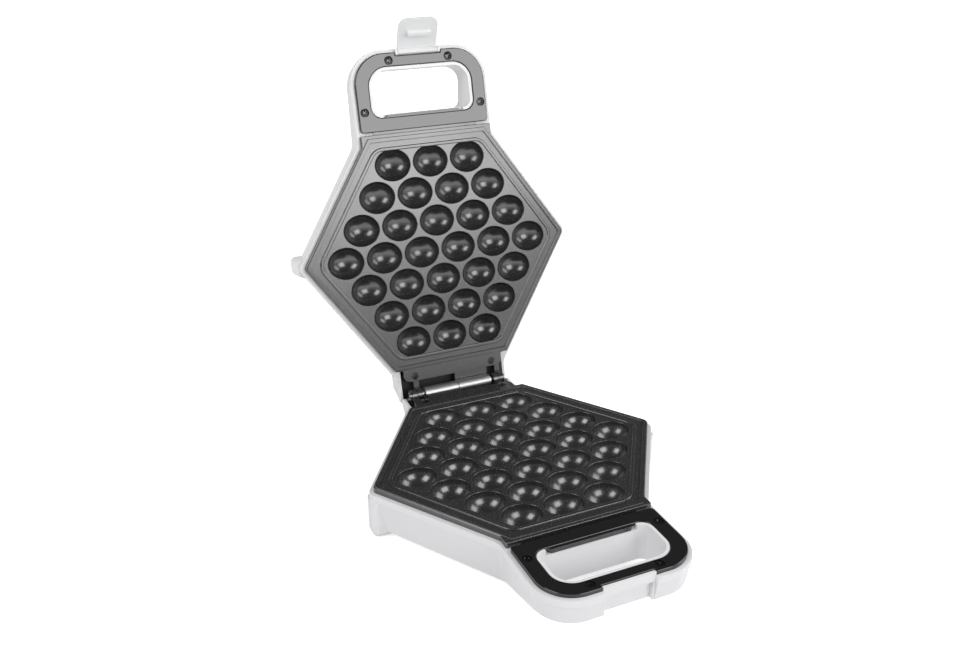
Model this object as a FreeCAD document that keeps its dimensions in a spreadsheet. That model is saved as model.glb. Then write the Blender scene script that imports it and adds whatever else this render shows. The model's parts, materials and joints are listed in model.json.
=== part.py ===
import FreeCAD, Part

# Egg waffle pan: a hexagonal double-sided iron with thirty oval cells in each plate.
# The base stands on four rubber feet, and the lid turns back about a pin behind the plates.
# Every casting is drawn in its own frame: X to the side, -Y towards the handle, Z out of
# the plate's face, with zero height on the plane where the closed plates meet.

import math
import os
from types import SimpleNamespace

import Sketcher
from FreeCAD import Placement, Rotation, Vector

# Driving sizes, in millimetres and degrees.
SIZES = {
    # cells
    "cell_pitch": 35.0,
    "row_pitch": 26.25,
    "cell_half_width": 16.1,
    "cell_round": 13.55,
    "cell_wall": 1.25,
    # plate outline
    "slant_margin": 30.5,
    "ridge_margin": 24.75,
    "flange_reach": 2.1,
    "ear_half_width": 60.4,
    "strip_depth": 11.6,
    "strip_half_width": 48.0,
    "ear_round": 1.4,
    "strip_round": 6.0,
    "plate_corner_round": 5.0,
    # plate levels, below the plane where the plates meet
    "meeting_gap": 0.3,
    "flange_drop": 1.0,
    "skirt_drop": 5.7,
    "slab_drop": 4.5,
    "skirt_wall": 2.5,
    "tongue_drop": 8.2,
    "tongue_reach": 5.9,
    # rim, moat and bead
    "rim_bevel": 0.5,
    "rim_width": 4.0,
    "step_drop": 0.55,
    "moat_width": 5.0,
    "moat_drop": 2.3,
    "moat_margin": 0.25,
    "bead_width": 3.2,
    "bead_drop": 0.35,
    "bead_round": 0.8,
    "field_drop": 1.2,
    "rim_corner_round": 3.0,
    "moat_corner_round": 14.0,
    # hinge
    "hinge_reach": 23.2,
    "hinge_drop": 2.56,
    "hinge_opening": 104.6,
    "knuckle_radius": 5.6,
    "barrel_length": 31.9,
    "barrel_gap": 0.3,
    "lug_gap": 2.8,
    "lug_width": 4.9,
    "lug_spacing": 0.5,
    "web_drop": 5.2,
    "pin_radius": 2.3,
    "pin_bore": 1.2,
    "pin_play": 0.05,
    "pin_end": 1.6,
    "clip_width": 0.8,
    "clip_radius": 4.0,
    # casing
    "seat_height": 45.5,
    "lip_width": 3.3,
    "lip_drop": 11.4,
    "lip_step": 0.5,
    "case_draft": 4.6,
    "case_wall": 2.5,
    "case_drop": 41.7,
    "crown_rise": 3.7,
    "crown_reach": 94.0,
    "grip_drop": 26.5,
    "grip_slope_end": 151.6,
    "case_neck_round": 10.0,
    "case_corner_round": 7.0,
    "tail_half_width": 52.3,
    "tail_reach": 8.6,
    "tail_neck_round": 12.0,
    "tail_round": 3.0,
    "ledge": 4.5,
    "ledge_thick": 3.0,
    "seat_gap": 0.1,
    "bay_drop": 8.8,
    "bay_half_width": 50.0,
    "bay_play": 0.3,
    "post_half_width": 8.5,
    "post_reach": 127.3,
    "post_depth": 24.0,
    "post_drop": 44.0,
    "post_round": 5.0,
    "overrun": 5.0,
    # handle cover and finger opening
    "cover_half_width": 59.4,
    "cover_gap": 2.4,
    "cover_front": 173.1,
    "cover_front_round": 27.0,
    "cover_rear_round": 3.0,
    "cover_drop": 2.4,
    "cover_thick": 3.2,
    "cover_edge_round": 0.8,
    "finger_half_width": 47.6,
    "finger_rear": 119.3,
    "finger_front": 161.7,
    "finger_rear_round": 9.5,
    "finger_front_round": 17.0,
    "finger_lip_half_width": 35.0,
    "finger_lip_reach": 2.4,
    "finger_lip_thick": 4.4,
    "liner_gap": 0.35,
    "liner_wall": 2.5,
    "liner_drop": 3.1,
    "notch_half_width": 21.0,
    "notch_front": 170.2,
    # screws
    "screw_side": 53.9,
    "screw_rear": 125.0,
    "screw_inner": 27.3,
    "screw_front": 166.7,
    "screw_head_radius": 3.4,
    "screw_head_thick": 1.6,
    "screw_sink": 0.25,
    "screw_shank": 1.4,
    "screw_length": 11.0,
    "screw_slot_width": 1.0,
    "screw_slot_length": 3.8,
    "screw_slot_depth": 1.1,
    "screw_recess_gap": 0.4,
    "screw_hole_gap": 0.15,
    "boss_radius": 3.9,
    "boss_depth": 12.0,
    "strip_screw_side": 37.6,
    "strip_screw_back": 6.8,
    "strip_head_radius": 3.1,
    "strip_head_thick": 1.8,
    "strip_screw_length": 12.5,
    # latch and its keeper
    "latch_half_width": 18.0,
    "latch_length": 29.4,
    "latch_thick": 2.2,
    "latch_offset": 1.0,
    "latch_bow": 1.0,
    "latch_corner_round": 8.0,
    "latch_pivot_front": 172.9,
    "latch_pivot_drop": 3.8,
    "latch_barrel_radius": 2.2,
    "latch_pin_radius": 1.0,
    "latch_open_angle": 60.0,
    "hook_half_width": 10.4,
    "hook_low": 15.0,
    "hook_high": 19.0,
    "hook_reach": 3.3,
    "latch_side_gap": 0.4,
    "latch_lug_width": 2.0,
    "latch_lug_top": 1.6,
    "latch_recess_drop": 12.5,
    "recess_half_width": 20.8,
    "recess_front": 173.3,
    "keeper_front": 169.4,
    "keeper_drop": 10.9,
    "keeper_half_width": 19.0,
    "keeper_wall": 2.5,
    "keeper_top": 3.1,
    # heater, shield and electrics
    "element_radius": 3.0,
    "element_inset": 7.6,
    "element_bend": 12.0,
    "element_tail_half_gap": 14.0,
    "element_tail_drop": 17.0,
    "element_tail_bend": 6.0,
    "shield_drop": 22.0,
    "shield_thick": 0.8,
    "shield_line": 84.0,
    "shield_front": 80.0,
    "shield_flange": 4.0,
    "shield_hole": 12.0,
    "shield_post_radius": 4.0,
    "shield_post_side": 58.0,
    "shield_post_front": 40.0,
    "shield_screw_radius": 1.4,
    "shield_screw_head": 3.0,
    "shield_screw_thick": 1.8,
    "shield_screw_length": 8.0,
    "sensor_boss_radius": 8.0,
    "sensor_boss_drop": 17.2,
    "thermostat_radius": 7.8,
    "thermostat_height": 9.0,
    "thermostat_collar": 2.0,
    "thermostat_collar_reach": 1.6,
    "tab_width": 4.0,
    "tab_thick": 0.8,
    "tab_length": 7.0,
    "block_drop": 16.5,
    "block_front": 7.0,
    "fuse_radius": 2.0,
    "fuse_length": 11.0,
    "fuse_tail": 0.6,
    "fuse_tail_length": 8.0,
    "fuse_side": 30.0,
    "fuse_front": 38.0,
    "terminal_long": 32.0,
    "terminal_wide": 14.0,
    "terminal_high": 11.0,
    "terminal_front": 95.0,
    "terminal_bore": 2.2,
    "terminal_ways": 3.0,
    "bushing_radius": 8.0,
    "bushing_neck": 5.6,
    "bushing_bore": 3.6,
    "bushing_drop": 25.0,
    "bushing_flange": 2.0,
    "bushing_inner": 3.0,
    "bushing_round": 0.6,
    # feet and indicator lenses
    "foot_radius": 7.0,
    "foot_top_radius": 6.0,
    "foot_stem": 2.5,
    "foot_stem_length": 3.4,
    "foot_side": 44.0,
    "foot_front": 86.0,
    "foot_rear": 112.0,
    "foot_round": 0.7,
    "lens_radius": 3.6,
    "lens_stem": 3.0,
    "lens_dome": 1.4,
    "lens_side": 8.0,
    "lens_front": 78.0,
    "lamp_radius": 2.4,
    "lamp_length": 9.0,
}
ROWS_EACH_SIDE = 3
CELLS_IN_MIDDLE_ROW = 6

doc = FreeCAD.newDocument("EggWafflePan")
sheet = doc.addObject("Spreadsheet::Sheet", "Sizes")
for number, (name, amount) in enumerate(SIZES.items(), start=1):
    sheet.set(f"A{number}", name)
    sheet.set(f"B{number}", str(amount))
    sheet.setAlias(f"B{number}", name)
doc.recompute()


class Size:
    """A number together with the sheet formula that gives it."""

    def __init__(self, number, formula):
        self.number = float(number)
        self.formula = formula

    def __float__(self):
        return self.number

    def __add__(self, other):
        return Size(self.number + float(other), f"({self.formula} + {formula_of(other)})")

    def __sub__(self, other):
        return Size(self.number - float(other), f"({self.formula} - {formula_of(other)})")

    def __mul__(self, other):
        return Size(self.number * float(other), f"({self.formula} * {formula_of(other)})")

    def __truediv__(self, other):
        return Size(self.number / float(other), f"({self.formula} / {formula_of(other)})")

    def __neg__(self):
        return Size(-self.number, f"(-1 * {self.formula})")


def formula_of(amount):
    """The text of a size or of a plain count in a sheet formula."""
    return amount.formula if isinstance(amount, Size) else repr(float(amount))


def root_of_squares(first, second):
    """The long side of a right triangle."""
    number = math.hypot(float(first), float(second))
    return Size(number, f"sqrt({first.formula} ^ 2 + {second.formula} ^ 2)")


of = SimpleNamespace(**{name: Size(amount, f"Sizes.{name}") for name, amount in SIZES.items()})
ZERO = Size(0, "0")


def bind(thing, path, amount):
    """Tie a property to the sheet."""
    if isinstance(amount, Size):
        thing.setExpression(path, amount.formula)


def new_body(label):
    """An empty body with its label."""
    body = doc.addObject("PartDesign::Body", label)
    body.Label = label
    return body


def new_sketch(body, role, offset=ZERO):
    """A sketch on one of the body's own origin planes, moved out along its normal."""
    sketch = body.newObject("Sketcher::SketchObject", f"{body.Label}_sketch")
    plane = next(item for item in body.Origin.OriginFeatures if item.Role == role)
    sketch.AttachmentSupport = [(plane, "")]
    sketch.MapMode = "FlatFace"
    sketch.AttachmentOffset = Placement(Vector(0, 0, float(offset)), Rotation())
    bind(sketch, "AttachmentOffset.Base.z", offset)
    return sketch


def tie_point(sketch, item, end, x, y):
    """Hold one point of a sketch at its place."""
    for kind, axis, amount in (("DistanceX", -2, x), ("DistanceY", -1, y)):
        if float(amount) == 0:
            sketch.addConstraint(Sketcher.Constraint("PointOnObject", item, end, axis))
        else:
            held = Sketcher.Constraint(kind, -1, 1, item, end, float(amount))
            index = sketch.addConstraint(held)
            bind(sketch, f"Constraints[{index}]", amount)


def add_outline(sketch, corners):
    """A closed outline of straight sides; each corner is (x, y) or (x, y, radius)."""
    corners = [corner if len(corner) == 3 else (*corner, ZERO) for corner in corners]
    points = [Vector(float(x), float(y), 0) for x, y, radius in corners]
    count = len(corners)
    legs = []
    centres = []
    for index, (x, y, radius) in enumerate(corners):
        back = (points[index - 1] - points[index]).normalize()
        ahead = (points[(index + 1) % count] - points[index]).normalize()
        half = back.getAngle(ahead) / 2
        legs.append(float(radius) / math.tan(half))
        centres.append(points[index] + (back + ahead).normalize() * (float(radius) / math.sin(half)))
    sides = []
    for index in range(count):
        following = (index + 1) % count
        along = (points[following] - points[index]).normalize()
        start = points[index] + along * legs[index]
        end = points[following] - along * legs[following]
        sides.append(sketch.addGeometry(Part.LineSegment(start, end), False))
    for index, (x, y, radius) in enumerate(corners):
        before = sides[index - 1]
        after = sides[index]
        if float(radius) == 0:
            sketch.addConstraint(Sketcher.Constraint("Coincident", before, 2, after, 1))
            tie_point(sketch, after, 1, x, y)
            continue
        into = (points[index] - points[index - 1]).normalize()
        out = (points[(index + 1) % count] - points[index]).normalize()
        first = points[index] - into * legs[index] - centres[index]
        last = points[index] + out * legs[index] - centres[index]
        left_turn = into.cross(out).z > 0
        if not left_turn:
            first, last = last, first
        low = math.atan2(first.y, first.x)
        high = math.atan2(last.y, last.x)
        ring = Part.Circle(centres[index], Vector(0, 0, 1), float(radius))
        arc = sketch.addGeometry(Part.ArcOfCircle(ring, low, high), False)
        corner = sketch.addGeometry(Part.Point(points[index]), True)
        ends = (1, 2) if left_turn else (2, 1)
        sketch.addConstraint(Sketcher.Constraint("Tangent", before, 2, arc, ends[0]))
        sketch.addConstraint(Sketcher.Constraint("Tangent", after, 1, arc, ends[1]))
        bound = sketch.addConstraint(Sketcher.Constraint("Radius", arc, float(radius)))
        bind(sketch, f"Constraints[{bound}]", radius)
        sketch.addConstraint(Sketcher.Constraint("PointOnObject", corner, 1, before))
        sketch.addConstraint(Sketcher.Constraint("PointOnObject", corner, 1, after))
        tie_point(sketch, corner, 1, x, y)


def add_circle(sketch, x, y, radius):
    """A circle held at its centre."""
    ring = Part.Circle(Vector(float(x), float(y), 0), Vector(0, 0, 1), float(radius))
    item = sketch.addGeometry(ring, False)
    bound = sketch.addConstraint(Sketcher.Constraint("Radius", item, float(radius)))
    bind(sketch, f"Constraints[{bound}]", radius)
    tie_point(sketch, item, 3, x, y)


def add_feature(body, kind, sketch, length, reverse=False):
    """A pad or a pocket on a sketch."""
    feature = body.newObject(f"PartDesign::{kind}", f"{body.Label}_{kind.lower()}")
    feature.Profile = sketch
    feature.Length = float(length)
    bind(feature, "Length", length)
    feature.Reversed = reverse
    body.Tip = feature
    return feature


def add_slab(body, corners, low, high, kind="Pad"):
    """A flat prism between two heights, added to the body or cut from it."""
    start = low if kind == "Pad" else high
    sketch = new_sketch(body, "XY_Plane", start)
    add_outline(sketch, corners)
    return add_feature(body, kind, sketch, high - low)


def add_disc(body, places, radius, low, high, kind="Pad"):
    """Upright round pieces between two heights, added to the body or cut from it."""
    start = low if kind == "Pad" else high
    sketch = new_sketch(body, "XY_Plane", start)
    for x, y in places:
        add_circle(sketch, x, y, radius)
    return add_feature(body, kind, sketch, high - low)


def add_bar(body, corners, left, right, kind="Pad"):
    """A prism along X; its outline is given in Y and Z."""
    start = left if kind == "Pad" else right
    sketch = new_sketch(body, "YZ_Plane", start)
    add_outline(sketch, corners)
    return add_feature(body, kind, sketch, right - left)


def add_rod(body, y, z, radius, left, right, kind="Pad"):
    """A round bar along X, added to the body or cut from it."""
    start = left if kind == "Pad" else right
    sketch = new_sketch(body, "YZ_Plane", start)
    add_circle(sketch, y, z, radius)
    return add_feature(body, kind, sketch, right - left)


def add_loft(body, corners_low, low, corners_high, high, kind="AdditiveLoft"):
    """A solid with straight sides between two outlines at two heights."""
    lower = new_sketch(body, "XY_Plane", low)
    add_outline(lower, corners_low)
    upper = new_sketch(body, "XY_Plane", high)
    add_outline(upper, corners_high)
    loft = body.newObject(f"PartDesign::{kind}", f"{body.Label}_loft")
    loft.Profile = lower
    loft.Sections = [upper]
    loft.Ruled = True
    body.Tip = loft
    return loft


def add_turned(body, corners):
    """A solid turned about Z; its outline is given in X and Z."""
    sketch = new_sketch(body, "XZ_Plane")
    add_outline(sketch, corners)
    turned = body.newObject("PartDesign::Revolution", f"{body.Label}_turned")
    turned.Profile = sketch
    turned.ReferenceAxis = (sketch, ["V_Axis"])
    turned.Angle = 360
    body.Tip = turned
    return turned


def round_edges(body, radius, wanted, kind="Fillet"):
    """Round or bevel the edges of the body's last shape that the test picks."""
    doc.recompute()
    base = body.Tip
    names = [f"Edge{number}" for number, edge in enumerate(base.Shape.Edges, start=1) if wanted(edge)]
    feature = body.newObject(f"PartDesign::{kind}", f"{body.Label}_{kind.lower()}")
    feature.Base = (base, names)
    path = "Radius" if kind == "Fillet" else "Size"
    setattr(feature, path, float(radius))
    bind(feature, path, radius)
    body.Tip = feature
    return feature


def both_sides(corners):
    """Mirror the right-hand corners of an outline to close it on the left."""
    left = [(-corner[0], *corner[1:]) for corner in reversed(corners)]
    return list(corners) + left


def joined(label, parts):
    """Several pieces made one."""
    fuse = doc.addObject("Part::MultiFuse", label)
    fuse.Shapes = parts
    fuse.Label = label
    return fuse


def cut_from(label, base, tool):
    """One piece with another taken out of it."""
    cut = doc.addObject("Part::Cut", label)
    cut.Base = base
    cut.Tool = tool
    cut.Label = label
    return cut


def shared_space(label, piece, limit):
    """What lies in both of two pieces."""
    common = doc.addObject("Part::Common", label)
    common.Base = piece
    common.Tool = limit
    common.Label = label
    return common


def grouped(label, pieces):
    """Separate pieces that share one node."""
    group = doc.addObject("Part::Compound", label)
    group.Links = pieces
    group.Label = label
    return group


def moved_copy(source, label, place):
    """A second piece of the same shape in another place."""
    copy = doc.addObject("Part::Compound", label)
    copy.Links = [source]
    copy.Label = label
    copy.Placement = place
    return copy


def shift(x, y, z):
    """A plain move by three sizes."""
    return Placement(Vector(float(x), float(y), float(z)), Rotation())


# Lines of the hexagon. Its slanted sides run parallel to the outer cells.
slant_long = root_of_squares(of.row_pitch, of.cell_pitch / 2)
slant_x_share = of.row_pitch / slant_long
slant_y_share = of.cell_pitch / 2 / slant_long
cell_line = slant_x_share * of.cell_pitch * ((CELLS_IN_MIDDLE_ROW - 1) / 2)
plate_line = cell_line + of.slant_margin
case_line = plate_line + of.lip_width
outer_row = of.row_pitch * ROWS_EACH_SIDE
ridge = outer_row + of.ridge_margin
hinge_y = ridge + of.hinge_reach
strip_end = ridge + of.strip_depth
grip_half_width = of.cover_half_width + of.lip_width
grip_front = of.cover_front + of.lip_width
tail_end = hinge_y + of.tail_reach
rim_top = -(of.meeting_gap / 2)
lip_top = -of.skirt_drop
half_opening = of.hinge_opening / 2
stop_slope_share = Size(math.tan(math.radians(float(half_opening))), f"tan({half_opening.formula})")
cover_screw_places = [
    (of.screw_side, -of.screw_rear),
    (-of.screw_side, -of.screw_rear),
    (of.screw_inner, -of.screw_front),
    (-of.screw_inner, -of.screw_front),
]
strip_screw_places = [
    (of.strip_screw_side, ridge + of.strip_screw_back),
    (-of.strip_screw_side, ridge + of.strip_screw_back),
]
shield_post_places = [
    (of.shield_post_side, of.shield_post_front),
    (-of.shield_post_side, of.shield_post_front),
    (of.shield_post_side, -of.shield_post_front),
    (-of.shield_post_side, -of.shield_post_front),
]
foot_places = [
    (of.foot_side, -of.foot_front),
    (-of.foot_side, -of.foot_front),
    (of.foot_side, of.foot_rear),
    (-of.foot_side, of.foot_rear),
]
floor_level = -of.case_drop + of.case_wall
shield_top = -of.shield_drop
shield_low = shield_top - of.shield_thick
post_top = shield_low - of.seat_gap
cover_top = -of.cover_drop
cover_low = cover_top - of.cover_thick
block_top = -of.bay_drop - of.seat_gap * 2
block_back = hinge_y - (block_top + of.hinge_drop + of.meeting_gap) / stop_slope_share - of.bay_play
draft_share = of.case_draft / (of.case_drop - of.lip_drop)
inlet_wall = tail_end - of.lip_step - draft_share * (of.bushing_drop - of.lip_drop)
inlet_tilt = math.degrees(math.atan(float(draft_share)))
inlet_place = Placement(
    Vector(0, float(inlet_wall), -float(of.bushing_drop)),
    Rotation(Vector(1, 0, 0), -90 - inlet_tilt),
)
block_half_width = (of.tail_half_width - of.lip_step - draft_share * (of.block_drop - of.lip_drop)
                    - of.case_wall - of.bay_play)


def slant_width(line, reach):
    """Half the hexagon's width at a distance from its middle."""
    return (line - slant_y_share * reach) / slant_x_share


def slant_reach(line, half_width):
    """How far from the middle the slanted side has a given half width."""
    return (line - slant_x_share * half_width) / slant_y_share


def hexagon(inset, side_round, end_round):
    """The plate's six-sided outline, drawn in by an inset."""
    line = plate_line - inset
    end = ridge - inset
    return both_sides([
        (slant_width(line, end), -end, end_round),
        (line / slant_x_share, ZERO, side_round),
        (slant_width(line, end), end, end_round),
    ])


def make_plate_blank(label, axis_height):
    """The cast plate before its cells: slab, rim, moat, bead, tongue and hinge knuckles."""
    body = new_body(label)
    rear_width = slant_width(plate_line, ridge)
    flange_end = ridge + of.flange_reach
    outline = both_sides([
        (of.ear_half_width, -flange_end, of.ear_round),
        (of.ear_half_width, -slant_reach(plate_line, of.ear_half_width), of.ear_round),
        (plate_line / slant_x_share, ZERO, of.plate_corner_round),
        (rear_width, ridge, of.ear_round),
        (of.strip_half_width, ridge, of.ear_round),
        (of.strip_half_width, strip_end, of.strip_round),
    ])
    add_slab(body, outline, lip_top + of.seat_gap, -of.flange_drop)
    add_slab(body, hexagon(ZERO, of.plate_corner_round, of.ear_round), -of.flange_drop, rim_top)
    top = float(rim_top)
    round_edges(body, of.rim_bevel, lambda edge: on_level(edge, top), "Chamfer")
    inner = of.rim_width
    add_slab(body, hexagon(inner, of.rim_corner_round, of.rim_corner_round), -of.step_drop, rim_top, "Pocket")
    bead_outer = inner + of.moat_width
    bead_inner = bead_outer + of.bead_width
    add_loft(
        body,
        hexagon(bead_outer, of.moat_corner_round, of.moat_corner_round), -of.moat_drop,
        hexagon(inner + of.moat_margin, of.rim_corner_round, of.rim_corner_round), -of.step_drop,
        "SubtractiveLoft",
    )
    inside_round = of.moat_corner_round - of.bead_width
    add_slab(body, hexagon(bead_outer, of.moat_corner_round, of.moat_corner_round),
             -of.moat_drop, -of.bead_drop)
    crest = -float(of.bead_drop)
    add_slab(body, hexagon(bead_inner, inside_round, inside_round), -of.field_drop, -of.bead_drop, "Pocket")
    reach = float(hinge_y)
    round_edges(body, of.bead_round, lambda edge: on_level(edge, crest) and edge.CenterOfMass.y < reach
                and inside_hexagon(edge, bead_outer) and not inside_hexagon(edge, bead_inner + of.bead_round))
    under = both_sides([
        (of.ear_half_width - of.skirt_wall, -(flange_end - of.skirt_wall)),
        (of.ear_half_width - of.skirt_wall,
         -slant_reach(plate_line - of.skirt_wall, of.ear_half_width - of.skirt_wall)),
        ((plate_line - of.skirt_wall) / slant_x_share, ZERO),
        (slant_width(plate_line - of.skirt_wall, ridge - of.skirt_wall), ridge - of.skirt_wall),
    ])
    add_slab(body, under, lip_top - of.overrun, -of.slab_drop, "Pocket")
    tongue = both_sides([
        (of.strip_half_width, -(flange_end + of.tongue_reach)),
        (of.strip_half_width, -(flange_end - of.skirt_wall)),
    ])
    add_slab(body, tongue, -of.tongue_drop, lip_top + of.seat_gap)
    add_disc(body, [(ZERO, ZERO)], of.sensor_boss_radius, -of.sensor_boss_drop, -of.slab_drop)
    add_knuckles(body, axis_height)
    shank_hole = of.screw_shank + of.screw_hole_gap
    add_disc(body, strip_screw_places, shank_hole, lip_top - of.overrun, ZERO, "Pocket")
    add_disc(body, strip_screw_places, of.strip_head_radius + of.screw_hole_gap,
             -of.flange_drop - of.strip_head_thick - of.screw_hole_gap, ZERO, "Pocket")
    return body


def on_level(edge, height):
    """Whether an edge lies flat at a height."""
    box = edge.BoundBox
    middle = (box.ZMax + box.ZMin) / 2
    slack = 10 * Part.Precision.confusion()
    return box.ZLength < slack and abs(middle - height) < slack


def inside_hexagon(edge, inset):
    """Whether an edge's middle lies inside the plate's outline, drawn in by an inset."""
    place = edge.valueAt((edge.FirstParameter + edge.LastParameter) / 2)
    slack = 10 * Part.Precision.confusion()
    across = abs(place.x) * float(slant_x_share) + abs(place.y) * float(slant_y_share)
    return (across < float(plate_line - inset) + slack) and (abs(place.y) < float(ridge - inset) + slack)


def add_knuckles(body, axis_height):
    """One barrel half and two lugs on the strip, bored for the pin."""
    barrel_far = of.barrel_gap + of.barrel_length
    near = barrel_far + of.lug_gap
    far = near + of.lug_width + of.lug_spacing
    stretches = [
        (-barrel_far, -of.barrel_gap),
        (near, near + of.lug_width),
        (-(far + of.lug_width), -far),
    ]
    root = strip_end - of.skirt_wall
    for left, right in stretches:
        web = [
            (root, lip_top + of.seat_gap),
            (hinge_y, -of.web_drop),
            (hinge_y, -of.flange_drop),
            (root, -of.flange_drop),
        ]
        add_bar(body, web, left, right)
        add_rod(body, hinge_y, axis_height, of.knuckle_radius, left, right)
    bore = of.pin_radius + of.pin_play
    add_rod(body, hinge_y, axis_height, bore, -of.bay_half_width, of.bay_half_width, "Pocket")


def cell_set(label, growth):
    """Thirty ovals that share one size, set out in rows of three to six."""
    ovals = []
    for row in range(-ROWS_EACH_SIDE, ROWS_EACH_SIDE + 1):
        in_row = CELLS_IN_MIDDLE_ROW - abs(row)
        for place in range(in_row):
            oval = doc.addObject("Part::Ellipsoid", f"{label}_oval")
            for path, amount in (
                ("Radius1", of.cell_round + growth),
                ("Radius2", of.cell_half_width + growth),
                ("Radius3", of.cell_round + growth),
                ("Placement.Base.x", of.cell_pitch * (place - (in_row - 1) / 2)),
                ("Placement.Base.y", of.row_pitch * row),
                ("Placement.Base.z", -of.field_drop),
            ):
                oval.setExpression(path, amount.formula)
            oval.Angle2 = 0
            ovals.append(oval)
    return joined(label, ovals)


def make_plate(label, blank, cups, cavities):
    """A plate with its thirty cells pressed into it."""
    cupped = joined(f"{label}_cupped", [blank, cups])
    return cut_from(label, cupped, cavities)


def case_outline(inset):
    """The casing seen from above: hexagon, handle and the tail that carries the hinge."""
    line = case_line - inset
    half_width = grip_half_width - inset
    tail = of.tail_half_width - inset
    return both_sides([
        (half_width, -(grip_front - inset), of.cover_front_round + of.lip_width - inset),
        (half_width, -slant_reach(line, half_width), of.case_neck_round + inset),
        (line / slant_x_share, ZERO, of.case_corner_round),
        (tail, slant_reach(line, tail), of.tail_neck_round),
        (tail, tail_end - inset, of.tail_round),
    ])


def make_case_form(label, inset, top, lift):
    """The casing's outer form, or with an inset and a lift the space inside it."""
    body = new_body(label)
    foot = -of.case_drop - of.overrun
    draft_step = draft_share * of.overrun
    add_loft(body, case_outline(inset + of.lip_step + of.case_draft + draft_step), foot,
             case_outline(inset + of.lip_step), -of.lip_drop)
    add_slab(body, case_outline(inset), -of.lip_drop, top)
    far = grip_front + of.overrun
    deep = foot - of.overrun
    bottom = -of.case_drop + lift
    underside = [
        (far, deep),
        (far, bottom),
        (of.crown_reach, bottom),
        (ZERO, bottom + of.crown_rise),
        (-of.crown_reach, bottom),
        (-of.grip_slope_end, -of.grip_drop + lift),
        (-far, -of.grip_drop + lift),
        (-far, deep),
    ]
    add_bar(body, underside, -of.post_reach - of.overrun, of.post_reach + of.overrun, "Pocket")
    return body


def finger_outline(inset):
    """The finger opening, drawn in by an inset."""
    return both_sides([
        (of.finger_half_width - inset, -(of.finger_front - inset), of.finger_front_round - inset),
        (of.finger_half_width - inset, -(of.finger_rear + inset), of.finger_rear_round - inset),
    ])


def rectangle(left, right, front, rear):
    """Four corners; front and rear are distances towards the handle."""
    return [(left, -front), (right, -front), (right, -rear), (left, -rear)]


def make_posts(label):
    """The upright corner posts at the hexagon's left and right points."""
    body = new_body(label)
    for side in (1, -1):
        outer = of.post_reach * side
        inner = (of.post_reach - of.post_depth) * side
        corners = [
            (inner, -of.post_half_width),
            (outer, -of.post_half_width, of.post_round),
            (outer, of.post_half_width, of.post_round),
            (inner, of.post_half_width),
        ]
        add_slab(body, corners, -of.post_drop, -of.lip_drop)
    low = -float(of.post_drop)
    outer_half = float(of.post_reach - of.post_depth / 2 - of.post_round)
    round_edges(body, of.post_round,
                lambda edge: on_level(edge, low) and abs(edge.CenterOfMass.x) > outer_half)
    return body


def make_case_inside(label):
    """What is hollowed out of a casing once its outside is complete."""
    body = new_body(label)
    line = plate_line - of.ledge
    front = ridge - of.ledge / 2
    mouth = both_sides([
        (slant_width(line, front), -front, of.rim_corner_round),
        (line / slant_x_share, ZERO, of.rim_corner_round),
        (slant_width(line, front), front, of.rim_corner_round),
    ])
    ledge_low = lip_top - of.ledge_thick
    high = lip_top + of.overrun
    add_slab(body, mouth, ledge_low - of.overrun, high)
    bay = rectangle(-of.bay_half_width, of.bay_half_width, -tail_end - of.overrun, -front + of.overrun)
    add_slab(body, bay, -of.bay_drop, high)
    well_half = block_half_width + of.bay_play
    well = rectangle(-well_half, well_half, -block_back - of.bay_play, -front + of.overrun)
    add_slab(body, well, ledge_low - of.overrun, high)
    slot_half = of.strip_half_width + of.bay_play
    slot_front = ridge + of.flange_reach + of.tongue_reach + of.bay_play
    slot = rectangle(-slot_half, slot_half, slot_front, front - of.overrun)
    add_slab(body, slot, -of.tongue_drop - of.bay_play, high)
    return body


def make_shell(label, is_base, opened, limit):
    """One casing: hollow, with a ledge for the plate, a lined finger opening and bosses."""
    bosses = shared_space(f"{label}_inner", make_bosses(f"{label}_bosses", is_base), limit)
    full = joined(f"{label}_full", [opened, bosses])
    cuts = make_case_cuts(f"{label}_cuts", is_base)
    if is_base:
        cuts = joined(f"{label}_all_cuts", [cuts, make_inlet_drill("inlet_drill")])
    return cut_from(label, full, cuts)


def make_bosses(label, is_base):
    """Finger liner, screw bosses, shield posts and the latch's seat inside a casing."""
    body = new_body(label)
    add_slab(body, finger_outline(of.liner_gap), -of.case_drop, -of.liner_drop)
    boss_low = -of.boss_depth - of.skirt_drop
    add_disc(body, cover_screw_places, of.boss_radius, boss_low, cover_low - of.seat_gap)
    add_disc(body, shield_post_places, of.shield_post_radius, -of.case_drop, post_top)
    block_width = of.recess_half_width + of.keeper_wall
    block = rectangle(-block_width, block_width, grip_front, of.keeper_front - of.keeper_wall)
    add_slab(body, block, -of.grip_drop if is_base else -of.latch_recess_drop - of.keeper_wall, lip_top)
    if is_base:
        lap = of.notch_front + of.cover_edge_round
        lip = rectangle(-of.recess_half_width, of.recess_half_width, of.recess_front, lap)
        add_slab(body, lip, lip_top, -of.keeper_top)
    else:
        for side in (1, -1):
            near = (of.latch_half_width + of.latch_side_gap) * side
            far = (of.latch_half_width + of.latch_side_gap + of.latch_lug_width) * side
            left, right = (near, far) if side > 0 else (far, near)
            lug = [
                (-(of.latch_pivot_front - of.latch_barrel_radius), lip_top - of.keeper_wall),
                (-(of.latch_pivot_front - of.latch_barrel_radius), -of.latch_lug_top, of.latch_pin_radius),
                (-(of.latch_pivot_front + of.latch_barrel_radius), -of.latch_lug_top, of.latch_pin_radius),
                (-(of.latch_pivot_front + of.latch_barrel_radius), lip_top - of.keeper_wall),
            ]
            add_bar(body, lug, left, right)
    return body


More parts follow.
